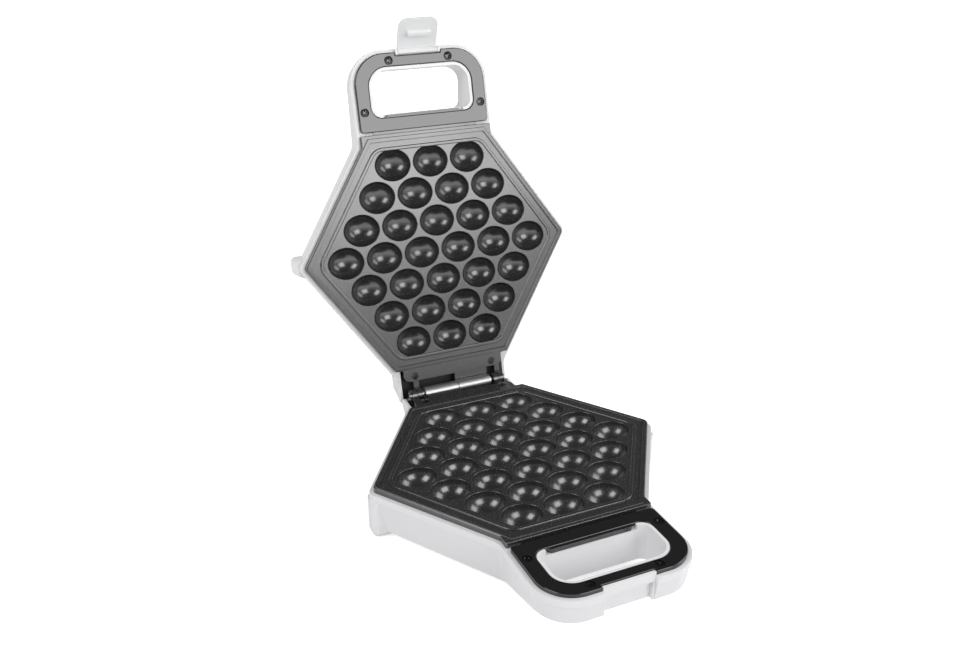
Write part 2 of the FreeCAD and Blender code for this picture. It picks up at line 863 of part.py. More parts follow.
def make_case_cuts(label, is_base):
    """Through holes and recesses of a finished casing."""
    body = new_body(label)
    high = of.overrun
    deep = -of.case_drop - of.overrun
    add_slab(body, finger_outline(of.liner_gap + of.liner_wall), deep, high)
    relief = of.finger_lip_half_width + of.finger_lip_reach
    lip_low = cover_top - of.finger_lip_thick - of.bay_play
    relief_front = of.finger_rear + of.finger_lip_reach + of.liner_wall
    relief_rear = of.finger_rear - of.cover_edge_round - of.bay_play
    add_slab(body, rectangle(-relief, relief, relief_front, relief_rear), lip_low, high)
    hole_low = -of.boss_depth - of.skirt_drop + of.case_wall
    add_disc(body, cover_screw_places, of.screw_shank + of.screw_hole_gap, hole_low, high)
    tip = post_top - of.shield_screw_length
    add_disc(body, shield_post_places, of.shield_screw_radius + of.screw_hole_gap, tip, post_top + of.overrun)
    far = grip_front + of.overrun
    axis_height = -of.hinge_drop if is_base else of.hinge_drop
    behind = of.tail_reach + of.overrun
    edge = axis_height - of.meeting_gap
    stop = [
        (hinge_y, edge),
        (hinge_y + behind, edge - stop_slope_share * behind),
        (hinge_y + behind, of.overrun + of.hinge_drop),
        (hinge_y, of.overrun + of.hinge_drop),
    ]
    add_bar(body, stop, -of.tail_half_width - of.overrun, of.tail_half_width + of.overrun)
    if is_base:
        wide = of.recess_half_width
        narrow = of.keeper_half_width
        add_slab(body, rectangle(-wide, wide, far, of.recess_front), deep, high)
        add_slab(body, rectangle(-narrow, narrow, far, of.keeper_front), deep, -of.keeper_drop)
        add_disc(body, foot_places, of.foot_stem + of.screw_hole_gap, deep, floor_level + of.overrun)
    else:
        wide = of.latch_half_width + of.latch_side_gap
        back = of.latch_pivot_front - of.latch_barrel_radius - of.bay_play
        add_slab(body, rectangle(-wide, wide, far, back), -of.latch_recess_drop, high)
        add_rod(body, -of.latch_pivot_front, -of.latch_pivot_drop, of.latch_pin_radius + of.pin_play,
                -of.recess_half_width, of.recess_half_width)
        lenses = [(of.lens_side, -of.lens_front), (-of.lens_side, -of.lens_front)]
        add_disc(body, lenses, of.lens_stem + of.screw_hole_gap, deep, floor_level + of.overrun)
    return body


def make_inlet_drill(label):
    """The hole for the cord inlet, square to the casing's drafted rear wall."""
    body = new_body(label)
    inside = of.case_wall + of.bushing_inner + of.overrun
    add_disc(body, [(ZERO, ZERO)], of.bushing_neck + of.screw_hole_gap, -inside, of.overrun)
    body.Placement = inlet_place
    return body


def make_cover(label):
    """The black frame round the finger opening, held by four screws."""
    body = new_body(label)
    rear = ridge + of.flange_reach + of.cover_gap
    outline = both_sides([
        (of.notch_half_width, -of.notch_front, of.cover_edge_round),
        (of.notch_half_width, -of.cover_front, of.cover_edge_round),
        (of.cover_half_width, -of.cover_front, of.cover_front_round),
        (of.cover_half_width, -rear, of.cover_rear_round),
    ])
    add_slab(body, outline, cover_low, cover_top)
    add_slab(body, finger_outline(ZERO), cover_low - of.overrun, cover_top, "Pocket")
    high = float(cover_top)
    round_edges(body, of.cover_edge_round, lambda edge: on_level(edge, high))
    tilt = of.finger_lip_half_width - of.finger_lip_reach
    ends = both_sides([
        (tilt, -(of.finger_rear + of.finger_lip_reach)),
        (of.finger_lip_half_width, -of.finger_rear),
        (of.finger_lip_half_width, -(of.finger_rear - of.cover_edge_round)),
    ])
    lip_high = cover_top - of.cover_edge_round
    add_slab(body, ends, cover_top - of.finger_lip_thick, lip_high)
    add_disc(body, cover_screw_places, of.screw_shank + of.screw_hole_gap,
             cover_low - of.overrun, cover_top, "Pocket")
    seat = cover_top - of.screw_sink - of.screw_head_thick
    add_disc(body, cover_screw_places, of.screw_head_radius + of.screw_recess_gap, seat, cover_top, "Pocket")
    return body


def make_screw(label, head_radius, head_thick, shank, length, countersunk):
    """A cross-head screw standing on Z, with its head's top at zero height."""
    body = new_body(label)
    edge = head_thick / 4
    under_head = [(shank, -head_thick)] if countersunk else [(head_radius, -head_thick), (shank, -head_thick)]
    profile = [
        (ZERO, ZERO),
        (head_radius - edge, ZERO),
        (head_radius, -edge),
        *under_head,
        (shank, -length + shank),
        (shank / 3, -length),
        (ZERO, -length),
    ]
    add_turned(body, profile)
    long = of.screw_slot_length / 2
    wide = of.screw_slot_width / 2
    for across, along in ((wide, long), (long, wide)):
        add_slab(body, [(-across, -along), (across, -along), (across, along), (-across, along)],
                 -of.screw_slot_depth, ZERO, "Pocket")
    return body


def screw_group(label, screw, places, height, frame):
    """Copies of one screw at their places, moved with the casting that they hold."""
    copies = []
    for number, (x, y) in enumerate(places, start=1):
        copies.append(moved_copy(screw, f"{label}_{number}", shift(x, y, height)))
    group = grouped(label, copies)
    group.Placement = frame
    return group


def make_latch(label):
    """The clip in its closed pose about its own pivot: Z runs down to the catch."""
    body = new_body(label)
    half = of.latch_half_width
    tip = of.latch_length
    inner = -of.latch_offset
    outer = -(of.latch_offset + of.latch_thick)
    middle = tip / 2
    smooth = of.latch_length * 2
    profile = [
        (inner, ZERO), (inner - of.latch_bow / 2, middle, smooth), (inner + of.latch_bow, tip),
        (outer + of.latch_bow, tip), (outer - of.latch_bow / 2, middle, smooth), (outer, ZERO),
    ]
    add_bar(body, profile, -half, half)
    tip_level = float(tip)
    limit = float(half) - float(of.latch_side_gap)
    round_edges(body, of.latch_corner_round, lambda edge: abs(edge.CenterOfMass.x) > limit
                and abs(edge.CenterOfMass.z - tip_level) < float(of.latch_side_gap))
    add_rod(body, ZERO, ZERO, of.latch_barrel_radius, -half, half)
    web = [
        (ZERO, ZERO),
        (ZERO, of.latch_barrel_radius),
        (outer, of.latch_barrel_radius),
        (outer, ZERO),
    ]
    add_bar(body, web, -half, half)
    hook = [
        (of.hook_reach, of.hook_low),
        (inner - of.latch_bow, of.hook_low),
        (inner - of.latch_bow, of.hook_high),
        (of.hook_reach - of.latch_bow, of.hook_high, of.latch_bow),
        (of.hook_reach, of.hook_high - of.latch_bow, of.latch_bow),
    ]
    add_bar(body, hook, -of.hook_half_width, of.hook_half_width)
    bore = of.latch_pin_radius + of.pin_play
    add_rod(body, ZERO, ZERO, bore, -half - of.overrun, half + of.overrun, "Pocket")
    return body


def tube_path(points, bends):
    """Straight runs joined by tangent arcs, one radius for each inner point."""
    edges = []
    here = points[0]
    for before, corner, after, radius in zip(points, points[1:], points[2:], bends):
        into = (corner - before).normalize()
        out = (after - corner).normalize()
        half_turn = into.getAngle(out) / 2
        leg = radius * math.tan(half_turn)
        start = corner - into * leg
        end = corner + out * leg
        centre = corner + (out - into).normalize() * (radius / math.cos(half_turn))
        middle = centre + (corner - centre).normalize() * radius
        edges.append(Part.LineSegment(here, start).toShape())
        edges.append(Part.Arc(start, middle, end).toShape())
        here = end
    edges.append(Part.LineSegment(here, points[-1]).toShape())
    return Part.Wire(edges)


def make_element(label):
    """The tubular heater: one ring under the rim, with both ends turned down."""
    level = -of.slab_drop - of.element_radius - of.seat_gap
    line = plate_line - of.element_inset
    end = ridge - of.element_inset
    wide = slant_width(line, end)
    corner = line / slant_x_share
    tail = of.element_tail_half_gap
    low = -of.element_tail_drop
    places = [
        (tail, end, low), (tail, end, level), (wide, end, level), (corner, ZERO, level),
        (wide, -end, level), (-wide, -end, level), (-corner, ZERO, level), (-wide, end, level),
        (-tail, end, level), (-tail, end, low),
    ]
    points = [Vector(float(x), float(y), float(z)) for x, y, z in places]
    turn = float(of.element_tail_bend)
    bend = float(of.element_bend)
    path = tube_path(points, [turn] + [bend] * (len(points) - 4) + [turn])
    ring = Part.Wire(Part.makeCircle(float(of.element_radius), points[0], Vector(0, 0, 1)))
    heater = doc.addObject("Part::Feature", label)
    heater.Label = label
    heater.Shape = path.makePipeShell([ring], True, False)
    return heater


def shield_outline(inset):
    """The shield's outline, drawn in by an inset."""
    line = of.shield_line - inset
    end = of.shield_front - inset
    return both_sides([
        (slant_width(line, end), -end, of.rim_corner_round),
        (line / slant_x_share, ZERO, of.rim_corner_round),
        (slant_width(line, end), end, of.rim_corner_round),
    ])


def make_shield(label):
    """The sheet-steel tray that keeps the plate's heat off the casing."""
    body = new_body(label)
    add_slab(body, shield_outline(ZERO), shield_low, shield_top + of.shield_flange)
    add_slab(body, shield_outline(of.shield_thick), shield_top, shield_top + of.shield_flange, "Pocket")
    add_disc(body, [(ZERO, ZERO)], of.shield_hole, shield_low, shield_top, "Pocket")
    add_disc(body, shield_post_places, of.shield_screw_radius + of.screw_hole_gap,
             shield_low, shield_top, "Pocket")
    return body


def make_block(label):
    """The heat-proof block under the plate's strip, behind the hinge."""
    body = new_body(label)
    corners = both_sides([
        (block_half_width, ridge - of.ledge / 2 + of.block_front),
        (block_half_width, block_back, of.tail_round),
    ])
    add_slab(body, corners, -of.block_drop, block_top)
    add_disc(body, strip_screw_places, of.boss_radius, block_top, lip_top)
    add_disc(body, strip_screw_places, of.screw_shank + of.screw_hole_gap,
             -of.block_drop + of.case_wall, lip_top, "Pocket")
    return body


def make_thermostat(label):
    """A round snap thermostat with two blade terminals, seated on the plate's boss."""
    body = new_body(label)
    top = -of.sensor_boss_drop - of.seat_gap
    low = top - of.thermostat_height
    add_disc(body, [(ZERO, ZERO)], of.thermostat_radius, low, top)
    add_disc(body, [(ZERO, ZERO)], of.thermostat_radius + of.thermostat_collar_reach,
             top - of.thermostat_collar, top)
    for side in (1, -1):
        place = of.thermostat_radius / 2 * side
        blade = [
            (place - of.tab_thick / 2, -of.tab_width / 2),
            (place + of.tab_thick / 2, -of.tab_width / 2),
            (place + of.tab_thick / 2, of.tab_width / 2),
            (place - of.tab_thick / 2, of.tab_width / 2),
        ]
        add_slab(body, blade, low - of.tab_length, low)
    return body


def make_fuse(label):
    """A thermal cut-out lying on the shield."""
    body = new_body(label)
    height = shield_top + of.fuse_radius + of.seat_gap
    middle = of.fuse_side
    half = of.fuse_length / 2
    add_rod(body, of.fuse_front, height, of.fuse_radius, middle - half, middle + half)
    add_rod(body, of.fuse_front, height, of.fuse_tail, middle - half - of.fuse_tail_length,
            middle + half + of.fuse_tail_length)
    return body


def make_terminal(label):
    """The terminal block on the casing's floor, with one bore for each way."""
    body = new_body(label)
    low = floor_level + of.seat_gap
    half = of.terminal_long / 2
    corners = rectangle(-half, half, -of.terminal_front, -(of.terminal_front + of.terminal_wide))
    add_slab(body, corners, low, low + of.terminal_high)
    step = of.terminal_long / of.terminal_ways
    ways = int(float(of.terminal_ways))
    across = of.terminal_front + of.terminal_wide / 2
    places = [(step * (way - (ways - 1) / 2), across) for way in range(ways)]
    add_disc(body, places, of.terminal_bore, low + of.terminal_high / 3, low + of.terminal_high, "Pocket")
    return body


def make_bushing(label):
    """The cord inlet: a flanged ring snapped into the casing's rear wall."""
    body = new_body(label)
    outside = of.bushing_flange + of.seat_gap
    inside = of.case_wall + of.bushing_inner
    profile = [
        (of.bushing_bore, outside),
        (of.bushing_radius, outside, of.bushing_round),
        (of.bushing_radius, outside - of.bushing_flange),
        (of.bushing_neck, outside - of.bushing_flange),
        (of.bushing_neck, -inside),
        (of.bushing_bore, -inside),
    ]
    add_turned(body, profile)
    return body


def make_foot(label):
    """A rubber foot with its stem pressed up into the floor."""
    body = new_body(label)
    floor = of.seat_height - of.case_drop
    profile = [
        (ZERO, ZERO),
        (of.foot_radius, ZERO, of.foot_round),
        (of.foot_top_radius, floor - of.seat_gap),
        (of.foot_stem, floor - of.seat_gap),
        (of.foot_stem, floor + of.foot_stem_length),
        (ZERO, floor + of.foot_stem_length),
    ]
    add_turned(body, profile)
    return body


def make_lens(label):
    """A domed indicator lens with its stem, standing on Z."""
    body = new_body(label)
    profile = [
        (ZERO, of.lens_dome),
        (of.lens_radius / 2, of.lens_dome, of.lens_dome),
        (of.lens_radius, of.seat_gap),
        (of.lens_stem, of.seat_gap),
        (of.lens_stem, -of.case_wall * 2),
        (ZERO, -of.case_wall * 2),
    ]
    add_turned(body, profile)
    return body


def make_rod_part(label, radius, length):
    """A round bar along X, centred."""
    body = new_body(label)
    add_rod(body, ZERO, ZERO, radius, -(length / 2), length / 2)
    return body


# Frames of the base casting, the lid casting and the latch.
base_frame = shift(ZERO, ZERO, of.seat_height)
hinge_point = Vector(0, float(hinge_y), float(of.seat_height - of.hinge_drop))
turned_over = Placement(Vector(0, 0, float(of.seat_height)), Rotation(Vector(0, 1, 0), 180))
swung_back = Placement(Vector(), Rotation(Vector(1, 0, 0), -float(of.hinge_opening)), hinge_point)
lid_frame = swung_back.multiply(turned_over)
latch_swing = Placement(
    Vector(0, -float(of.latch_pivot_front), -float(of.latch_pivot_drop)),
    Rotation(Vector(1, 0, 0), float(of.latch_open_angle)),
)
latch_frame = lid_frame.multiply(latch_swing)

nodes = {}


def keep(label, item, frame):
    """Give a finished piece its node name and its place."""
    item.Label = label
    item.Placement = frame.multiply(item.Placement)
    nodes[label] = item


# Plates
cell_cups = cell_set("cell_cups", of.cell_wall)
cell_cavities = cell_set("cell_cavities", ZERO)
base_blank = make_plate_blank("base_blank", -of.hinge_drop)
lid_blank = make_plate_blank("lid_blank", of.hinge_drop)
keep("base_plate", make_plate("base_plate", base_blank, cell_cups, cell_cavities), base_frame)
keep("lid_plate", make_plate("lid_plate", lid_blank, cell_cups, cell_cavities), lid_frame)

# Casings
form = make_case_form("case_form", ZERO, lip_top, ZERO)
core = make_case_form("case_core", of.case_wall, lip_top - of.ledge_thick, of.case_wall)
limit = make_case_form("case_limit", ZERO, ZERO, ZERO)
outside = joined("case_outside", [form, make_posts("case_posts")])
hollow = cut_from("case_hollow", outside, core)
opened = cut_from("case_opened", hollow, make_case_inside("case_inside"))
keep("base_shell", make_shell("base_shell", True, opened, limit), base_frame)
keep("lid_shell", make_shell("lid_shell", False, opened, limit), lid_frame)

# Pieces that are the same in the base and in the lid
cover = make_cover("cover")
cover_screw = make_screw("cover_screw", of.screw_head_radius, of.screw_head_thick,
                         of.screw_shank, of.screw_length, False)
strip_screw = make_screw("strip_screw", of.strip_head_radius, of.strip_head_thick,
                         of.screw_shank, of.strip_screw_length, True)
shield_screw = make_screw("shield_screw", of.shield_screw_head, of.shield_screw_thick,
                          of.shield_screw_radius, of.shield_screw_length, False)
element = make_element("heating_element")
shield = make_shield("heat_shield")
block = make_block("hinge_block")
thermostat = make_thermostat("thermostat")
fuse = make_fuse("thermal_fuse")
for side, frame in (("base", base_frame), ("lid", lid_frame)):
    for name, source in (
        ("handle_cover", cover),
        ("heating_element", element),
        ("heat_shield", shield),
        ("hinge_block", block),
        ("thermostat", thermostat),
        ("thermal_fuse", fuse),
    ):
        keep(f"{side}_{name}", moved_copy(source, f"{side}_{name}", Placement()), frame)
    for name, screw, places, height in (
        ("cover_screws", cover_screw, cover_screw_places, cover_top - of.screw_sink),
        ("plate_screws", strip_screw, strip_screw_places, -of.flange_drop - of.screw_hole_gap),
        ("shield_screws", shield_screw, shield_post_places, shield_top + of.shield_screw_thick + of.seat_gap),
    ):
        nodes[f"{side}_{name}"] = screw_group(f"{side}_{name}", screw, places, height, frame)

# Pieces of the base alone
keep("terminal_block", make_terminal("terminal_block"), base_frame)
bushing = make_bushing("cord_bushing")
bushing.Placement = inlet_place
keep("cord_bushing", bushing, base_frame)
foot = make_foot("foot")
feet = [moved_copy(foot, "foot_copy", shift(x, y, ZERO)) for x, y in foot_places]
keep("rubber_feet", grouped("rubber_feet", feet), Placement())

# Hinge pin and its clips
barrel_far = of.barrel_gap + of.barrel_length
lugs_end = barrel_far + of.lug_gap + of.lug_width * 2 + of.lug_spacing
pin_half = lugs_end + of.pin_end
pin = new_body("hinge_pin")
add_rod(pin, ZERO, ZERO, of.pin_radius, -pin_half, pin_half)
add_rod(pin, ZERO, ZERO, of.pin_bore, -pin_half - of.overrun, pin_half + of.overrun, "Pocket")
pin_frame = Placement(hinge_point, Rotation())
keep("hinge_pin", pin, pin_frame)
clips = new_body("pin_clips_pair")
for side in (1, -1):
    inner = lugs_end + of.pin_play * 2
    ends = (inner, inner + of.clip_width) if side > 0 else (-(inner + of.clip_width), -inner)
    add_rod(clips, ZERO, ZERO, of.clip_radius, *ends)
add_rod(clips, ZERO, ZERO, of.pin_radius, -pin_half - of.overrun, pin_half + of.overrun, "Pocket")
keep("pin_clips", clips, pin_frame)

# Latch and its pin
keep("latch", make_latch("latch"), latch_frame)
latch_pin_half = of.latch_half_width + of.latch_side_gap + of.latch_lug_width - of.seat_gap
latch_pin = make_rod_part("latch_pin", of.latch_pin_radius, latch_pin_half * 2)
keep("latch_pin", latch_pin, latch_frame)

# Indicator lenses and their lamps on the lid
lens = make_lens("lens")
crown_slope_share = of.crown_rise / of.crown_reach
lens_lift = crown_slope_share * of.lens_radius
lens_level = -of.case_drop + of.crown_rise - crown_slope_share * of.lens_front - lens_lift
for name, side in (("red_lens", 1), ("green_lens", -1)):
    place = Placement(Vector(float(of.lens_side) * side, -float(of.lens_front), float(lens_level)),
                      Rotation(Vector(1, 0, 0), 180))
    keep(name, moved_copy(lens, name, place), lid_frame)
lamp_body = new_body("lamp")
lamp_low = of.case_wall * 2 + of.seat_gap
add_disc(lamp_body, [(ZERO, ZERO)], of.lamp_radius, lamp_low, lamp_low + of.lamp_length)
lamps = [
    moved_copy(lamp_body, "lamp_copy", shift(of.lens_side * side, -of.lens_front, lens_level))
    for side in (1, -1)
]
keep("indicator_lamps", grouped("indicator_lamps", lamps), lid_frame)

doc.recompute()
faults = [item.Label for item in doc.Objects if {"Invalid", "Error"} & set(item.State)]
if faults:
    raise RuntimeError(f"these objects failed: {faults}")
for label, item in nodes.items():
    if item.Shape.isNull() or not item.Shape.isValid():
        raise RuntimeError(f"{label} has no valid shape")

os.makedirs("parts", exist_ok=True)
for label, item in nodes.items():
    item.Shape.exportStep(os.path.join("parts", f"{label}.step"))
    print(label, len(item.Shape.Solids), "solids", round(item.Shape.Volume))
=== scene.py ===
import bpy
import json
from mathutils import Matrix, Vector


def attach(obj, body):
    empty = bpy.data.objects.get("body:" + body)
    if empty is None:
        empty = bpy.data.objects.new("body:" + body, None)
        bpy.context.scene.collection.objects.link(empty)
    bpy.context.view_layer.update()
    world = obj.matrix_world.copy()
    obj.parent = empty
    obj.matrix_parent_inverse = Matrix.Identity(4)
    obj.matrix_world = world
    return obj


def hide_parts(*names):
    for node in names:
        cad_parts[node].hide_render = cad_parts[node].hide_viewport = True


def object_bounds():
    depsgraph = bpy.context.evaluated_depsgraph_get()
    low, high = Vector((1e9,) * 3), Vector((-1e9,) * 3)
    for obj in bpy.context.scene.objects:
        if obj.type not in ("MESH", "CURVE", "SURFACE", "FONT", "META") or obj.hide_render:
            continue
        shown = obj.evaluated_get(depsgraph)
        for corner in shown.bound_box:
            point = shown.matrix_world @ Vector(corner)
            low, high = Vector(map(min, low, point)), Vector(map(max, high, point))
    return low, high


bl_info = {
    "name": "Egg Waffle Pan",
    "version": (1, 0, 0),
    "blender": (4, 5, 0),
    "location": "View3D > Sidebar > Waffle Pan",
    "description": "Builds the plates, casings, handles, hinge and latch of a hexagonal egg waffle pan",
    "category": "Add Mesh",
}

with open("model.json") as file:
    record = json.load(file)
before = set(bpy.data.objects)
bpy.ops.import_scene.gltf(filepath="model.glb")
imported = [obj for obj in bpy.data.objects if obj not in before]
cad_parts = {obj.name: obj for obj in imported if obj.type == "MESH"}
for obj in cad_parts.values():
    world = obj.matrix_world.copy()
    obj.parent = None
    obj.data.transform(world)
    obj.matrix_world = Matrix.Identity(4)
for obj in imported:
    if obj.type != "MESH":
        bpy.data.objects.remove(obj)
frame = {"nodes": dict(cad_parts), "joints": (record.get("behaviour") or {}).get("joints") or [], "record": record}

import json
import math

import bmesh
import bpy
from mathutils import Matrix, Vector

MM = 0.001
CAD_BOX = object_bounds()
HINGE = next(joint for joint in frame["joints"] if joint["name"] == "lid_hinge")
HINGE_POINT = Vector(HINGE["pos_m"])
OPENING = math.radians(max(HINGE["range_deg"]))
ROWS_EACH_SIDE = 3
CELLS_IN_MIDDLE_ROW = 6

# How finely round shapes are divided
CELL_STEPS = 64
BOWL_STEPS = 20
LIP_STEPS = 3
CORNER_STEPS = 6
ROUNDING_STEPS = 4
BARREL_STEPS = 40
TURNED_STEPS = 32
DOME_STEPS = 5

# Where shading and bevels take an edge as sharp, and how far large faces rule the shading
SHARP_ANGLE = math.radians(32.0)
BEVEL_ANGLE = math.radians(30.0)
NORMAL_WEIGHT = 90

# Fixed values of the finishes, the stage and the camera
NOISE_SPAN = {"From_Min": 0.3, "From_Max": 0.7}
FLECKS = {"Count": 700.0, "Size": 0.22, "Skipped": 0.72}
BARREL_ROUGHENING = 0.18
WHITE = (1.0, 1.0, 1.0, 1.0)
PICTURE_WIDTH = 960

# Angle round the pan and above the floor, in degrees, and the settings for size and brightness
SOFTBOXES = {
    "front_softbox": (20, 23, "key_size", "key_glow"),
    "left_softbox": (-74, 36, "side_size", "side_glow"),
    "right_softbox": (75, 30, "side_size", "fill_glow"),
}

# The finish of each material slot, filled by main
FINISH = {}


# Sizes and colours that a user would change

def length(name, text, amount):
    """A size property, given in millimetres and kept in metres."""
    return bpy.props.FloatProperty(name=name, description=text, default=amount * MM, subtype="DISTANCE",
                                   unit="LENGTH", precision=5)


def colour(name, text, amount):
    """A colour property, as linear red, green and blue."""
    return bpy.props.FloatVectorProperty(name=name, description=text, default=amount, size=3,
                                         subtype="COLOR", min=0, max=1)


def number(name, text, amount):
    """A plain number property."""
    return bpy.props.FloatProperty(name=name, description=text, default=amount)


def angle(name, text, amount):
    """An angle property, given in degrees."""
    return bpy.props.FloatProperty(name=name, description=text, default=math.radians(amount), subtype="ANGLE")


class PlateSizes(bpy.types.PropertyGroup):
    """Sizes of the two cast plates; heights are measured down from where the plates meet."""
    cell_pitch: length("Cell pitch", "From one cell to the next in its row", 35.0)
    row_pitch: length("Row pitch", "From one row of cells to the next", 26.25)
    cell_half_width: length("Cell half width", "Half the long way across a cell", 16.1)
    cell_round: length("Cell round", "Half the short way across a cell, and its depth", 13.55)
    cell_wall: length("Cell wall", "Thickness of the metal round a cell", 1.25)
    cell_lip: length("Cell lip", "Rounding of a cell's edge", 0.45)
    slant_margin: length("Slant margin", "From the outer cells to the plate's slanted sides", 30.5)
    ridge_margin: length("Ridge margin", "From the outer rows to the plate's ends", 24.75)
    flange_reach: length("Flange reach", "How far the flange passes the rim at the handle", 2.1)
    ear_half_width: length("Ear half width", "Half the flange's width at the handle", 60.4)
    strip_half_width: length("Strip half width", "Half the hinge strip's width", 48.0)
    strip_depth: length("Strip depth", "How far the hinge strip passes the rim", 11.6)
    strip_round: length("Strip round", "Corner rounding of the hinge strip", 6.0)
    ear_round: length("Ear round", "Corner rounding of the flange", 1.4)
    tip_round: length("Tip round", "Corner rounding of the hexagon's left and right points", 5.0)
    rim_top: length("Rim top", "Drop of the rim", 0.15)
    flange_drop: length("Flange drop", "Drop of the flange", 1.0)
    skirt_drop: length("Skirt drop", "Drop of the skirt's lower edge", 5.6)
    slab_drop: length("Slab drop", "Drop of the slab's underside", 4.5)
    skirt_wall: length("Skirt wall", "Thickness of the skirt", 2.5)
    rim_width: length("Rim width", "Width of the rim", 4.0)
    rim_round: length("Rim round", "Corner rounding inside the rim", 3.0)
    step_drop: length("Step drop", "Drop of the small step inside the rim", 0.55)
    moat_margin: length("Moat margin", "Width of the small step inside the rim", 0.25)
    moat_width: length("Moat width", "Width of the moat", 5.0)
    moat_drop: length("Moat drop", "Drop of the moat's floor", 1.45)
    moat_round: length("Moat round", "Corner rounding of the moat", 14.0)
    bead_width: length("Bead width", "Width of the bead round the cells", 3.2)
    bead_drop: length("Bead drop", "Drop of the bead's crest", 0.35)
    bead_bevel: length("Bead bevel", "Rounding of the bead", 0.8)
    field_drop: length("Field drop", "Drop of the flat between the cells", 1.2)
    hinge_drop: length("Hinge drop", "Drop of the hinge axis below the base plate's face", 2.56)
    knuckle_radius: length("Knuckle radius", "Radius of the hinge knuckles", 5.6)
    knuckle_bore: length("Knuckle bore", "Radius of the knuckles' bore", 2.35)
    barrel_gap: length("Barrel gap", "From the middle to a barrel", 0.3)
    barrel_length: length("Barrel length", "Length of a hinge barrel", 31.9)
    lug_gap: length("Lug gap", "From a barrel to the next lug", 2.8)
    lug_width: length("Lug width", "Width of a lug", 4.9)
    lug_spacing: length("Lug spacing", "From one lug to its neighbour", 0.5)
    web_drop: length("Web drop", "Drop of a knuckle arm's underside", 5.2)
    arm_sink: length("Arm sink", "How far a knuckle arm lies under the strip's face", 0.15)
    arm_overlap: length("Arm overlap", "How far a knuckle arm reaches into the strip", 1.3)
    tongue_drop: length("Tongue drop", "Drop of the tongue at the handle", 8.2)
    tongue_reach: length("Tongue reach", "How far the tongue passes the flange", 5.9)
    boss_radius: length("Boss radius", "Radius of the thermostat's boss", 8.0)
    boss_drop: length("Boss drop", "Drop of the thermostat boss at its end", 17.2)
    boss_top: length("Boss top", "Drop at which the thermostat boss leaves the cups", 13.2)
    screw_side: length("Strip screw side", "From the middle to a screw in the hinge strip", 37.6)
    screw_back: length("Strip screw back", "From the middle row back to the strip's screws", 110.3)
    screw_hole: length("Strip screw hole", "Radius of the recess for a screw's head", 3.25)
    screw_floor: length("Strip screw floor", "Drop of the recess's floor", 3.65)
    shank_hole: length("Shank hole", "Radius of the hole for a screw's shank", 1.55)


class ScrewSizes(bpy.types.PropertyGroup):
    """Sizes and places of the cross-head screws in the covers and in the hinge strips."""
    cover_side: length("Cover screw side", "From the middle to a screw beside the opening", 53.9)
    cover_rear: length("Cover screw rear", "From the middle row to a screw beside the opening", 125.0)
    cover_inner: length("Cover screw inner", "From the middle to a screw before the opening", 27.3)
    cover_front: length("Cover screw front", "From the middle row to a screw before the opening", 166.7)
    cover_drop: length("Cover screw drop", "Drop of a cover screw's head", 2.6)
    cover_head: length("Cover screw head", "Radius of a cover screw's head", 3.4)
    cover_thick: length("Cover head height", "Height of a cover screw's head", 1.65)
    cover_length: length("Cover screw length", "Length of a cover screw under its head", 11.0)
    strip_drop: length("Strip screw drop", "Drop of a strip screw's head", 1.8)
    strip_head: length("Strip screw head", "Radius of a strip screw's head", 3.1)
    strip_thick: length("Strip head height", "Height of a strip screw's head", 1.8)
    strip_length: length("Strip screw length", "Length of a strip screw under its head", 12.5)
    shank: length("Shank", "Radius of a screw's shank", 1.4)
    cross_width: length("Cross width", "Width of an arm of the cross", 1.1)
    cross_share: number("Cross share", "Reach of the cross on the head", 0.66)
    cross_depth: length("Cross depth", "Depth of the cross", 1.3)


class Finishes(bpy.types.PropertyGroup):
    """Colours of the finishes."""
    casing: colour("Casing", "White moulded plastic", (0.78, 0.78, 0.795))
    coating: colour("Coating", "Dark non-stick coating", (0.022, 0.022, 0.023))
    fleck: colour("Fleck", "Pale flecks in the coating", (0.10, 0.10, 0.10))
    bare_metal: colour("Bare metal", "Turned metal of the hinge barrels", (0.62, 0.62, 0.63))
    cover: colour("Cover", "Gloss black plastic", (0.008, 0.008, 0.008))
    latch: colour("Latch", "Milky plastic", (0.78, 0.785, 0.79))
    steel: colour("Steel", "Bright drawn steel", (0.56, 0.56, 0.57))
    dark_steel: colour("Dark steel", "Blackened steel", (0.10, 0.10, 0.10))
    block: colour("Block", "Black heat-proof moulding", (0.012, 0.012, 0.013))
    ceramic: colour("Ceramic", "Pale ceramic-filled moulding", (0.62, 0.58, 0.50))
    rubber: colour("Rubber", "Dark rubber", (0.03, 0.03, 0.032))
    red: colour("Red", "Red indicator lens", (0.55, 0.015, 0.01))
    green: colour("Green", "Green indicator lens", (0.02, 0.38, 0.06))
    glass: colour("Glass", "Warm glass of the indicator lamps", (0.9, 0.8, 0.7))


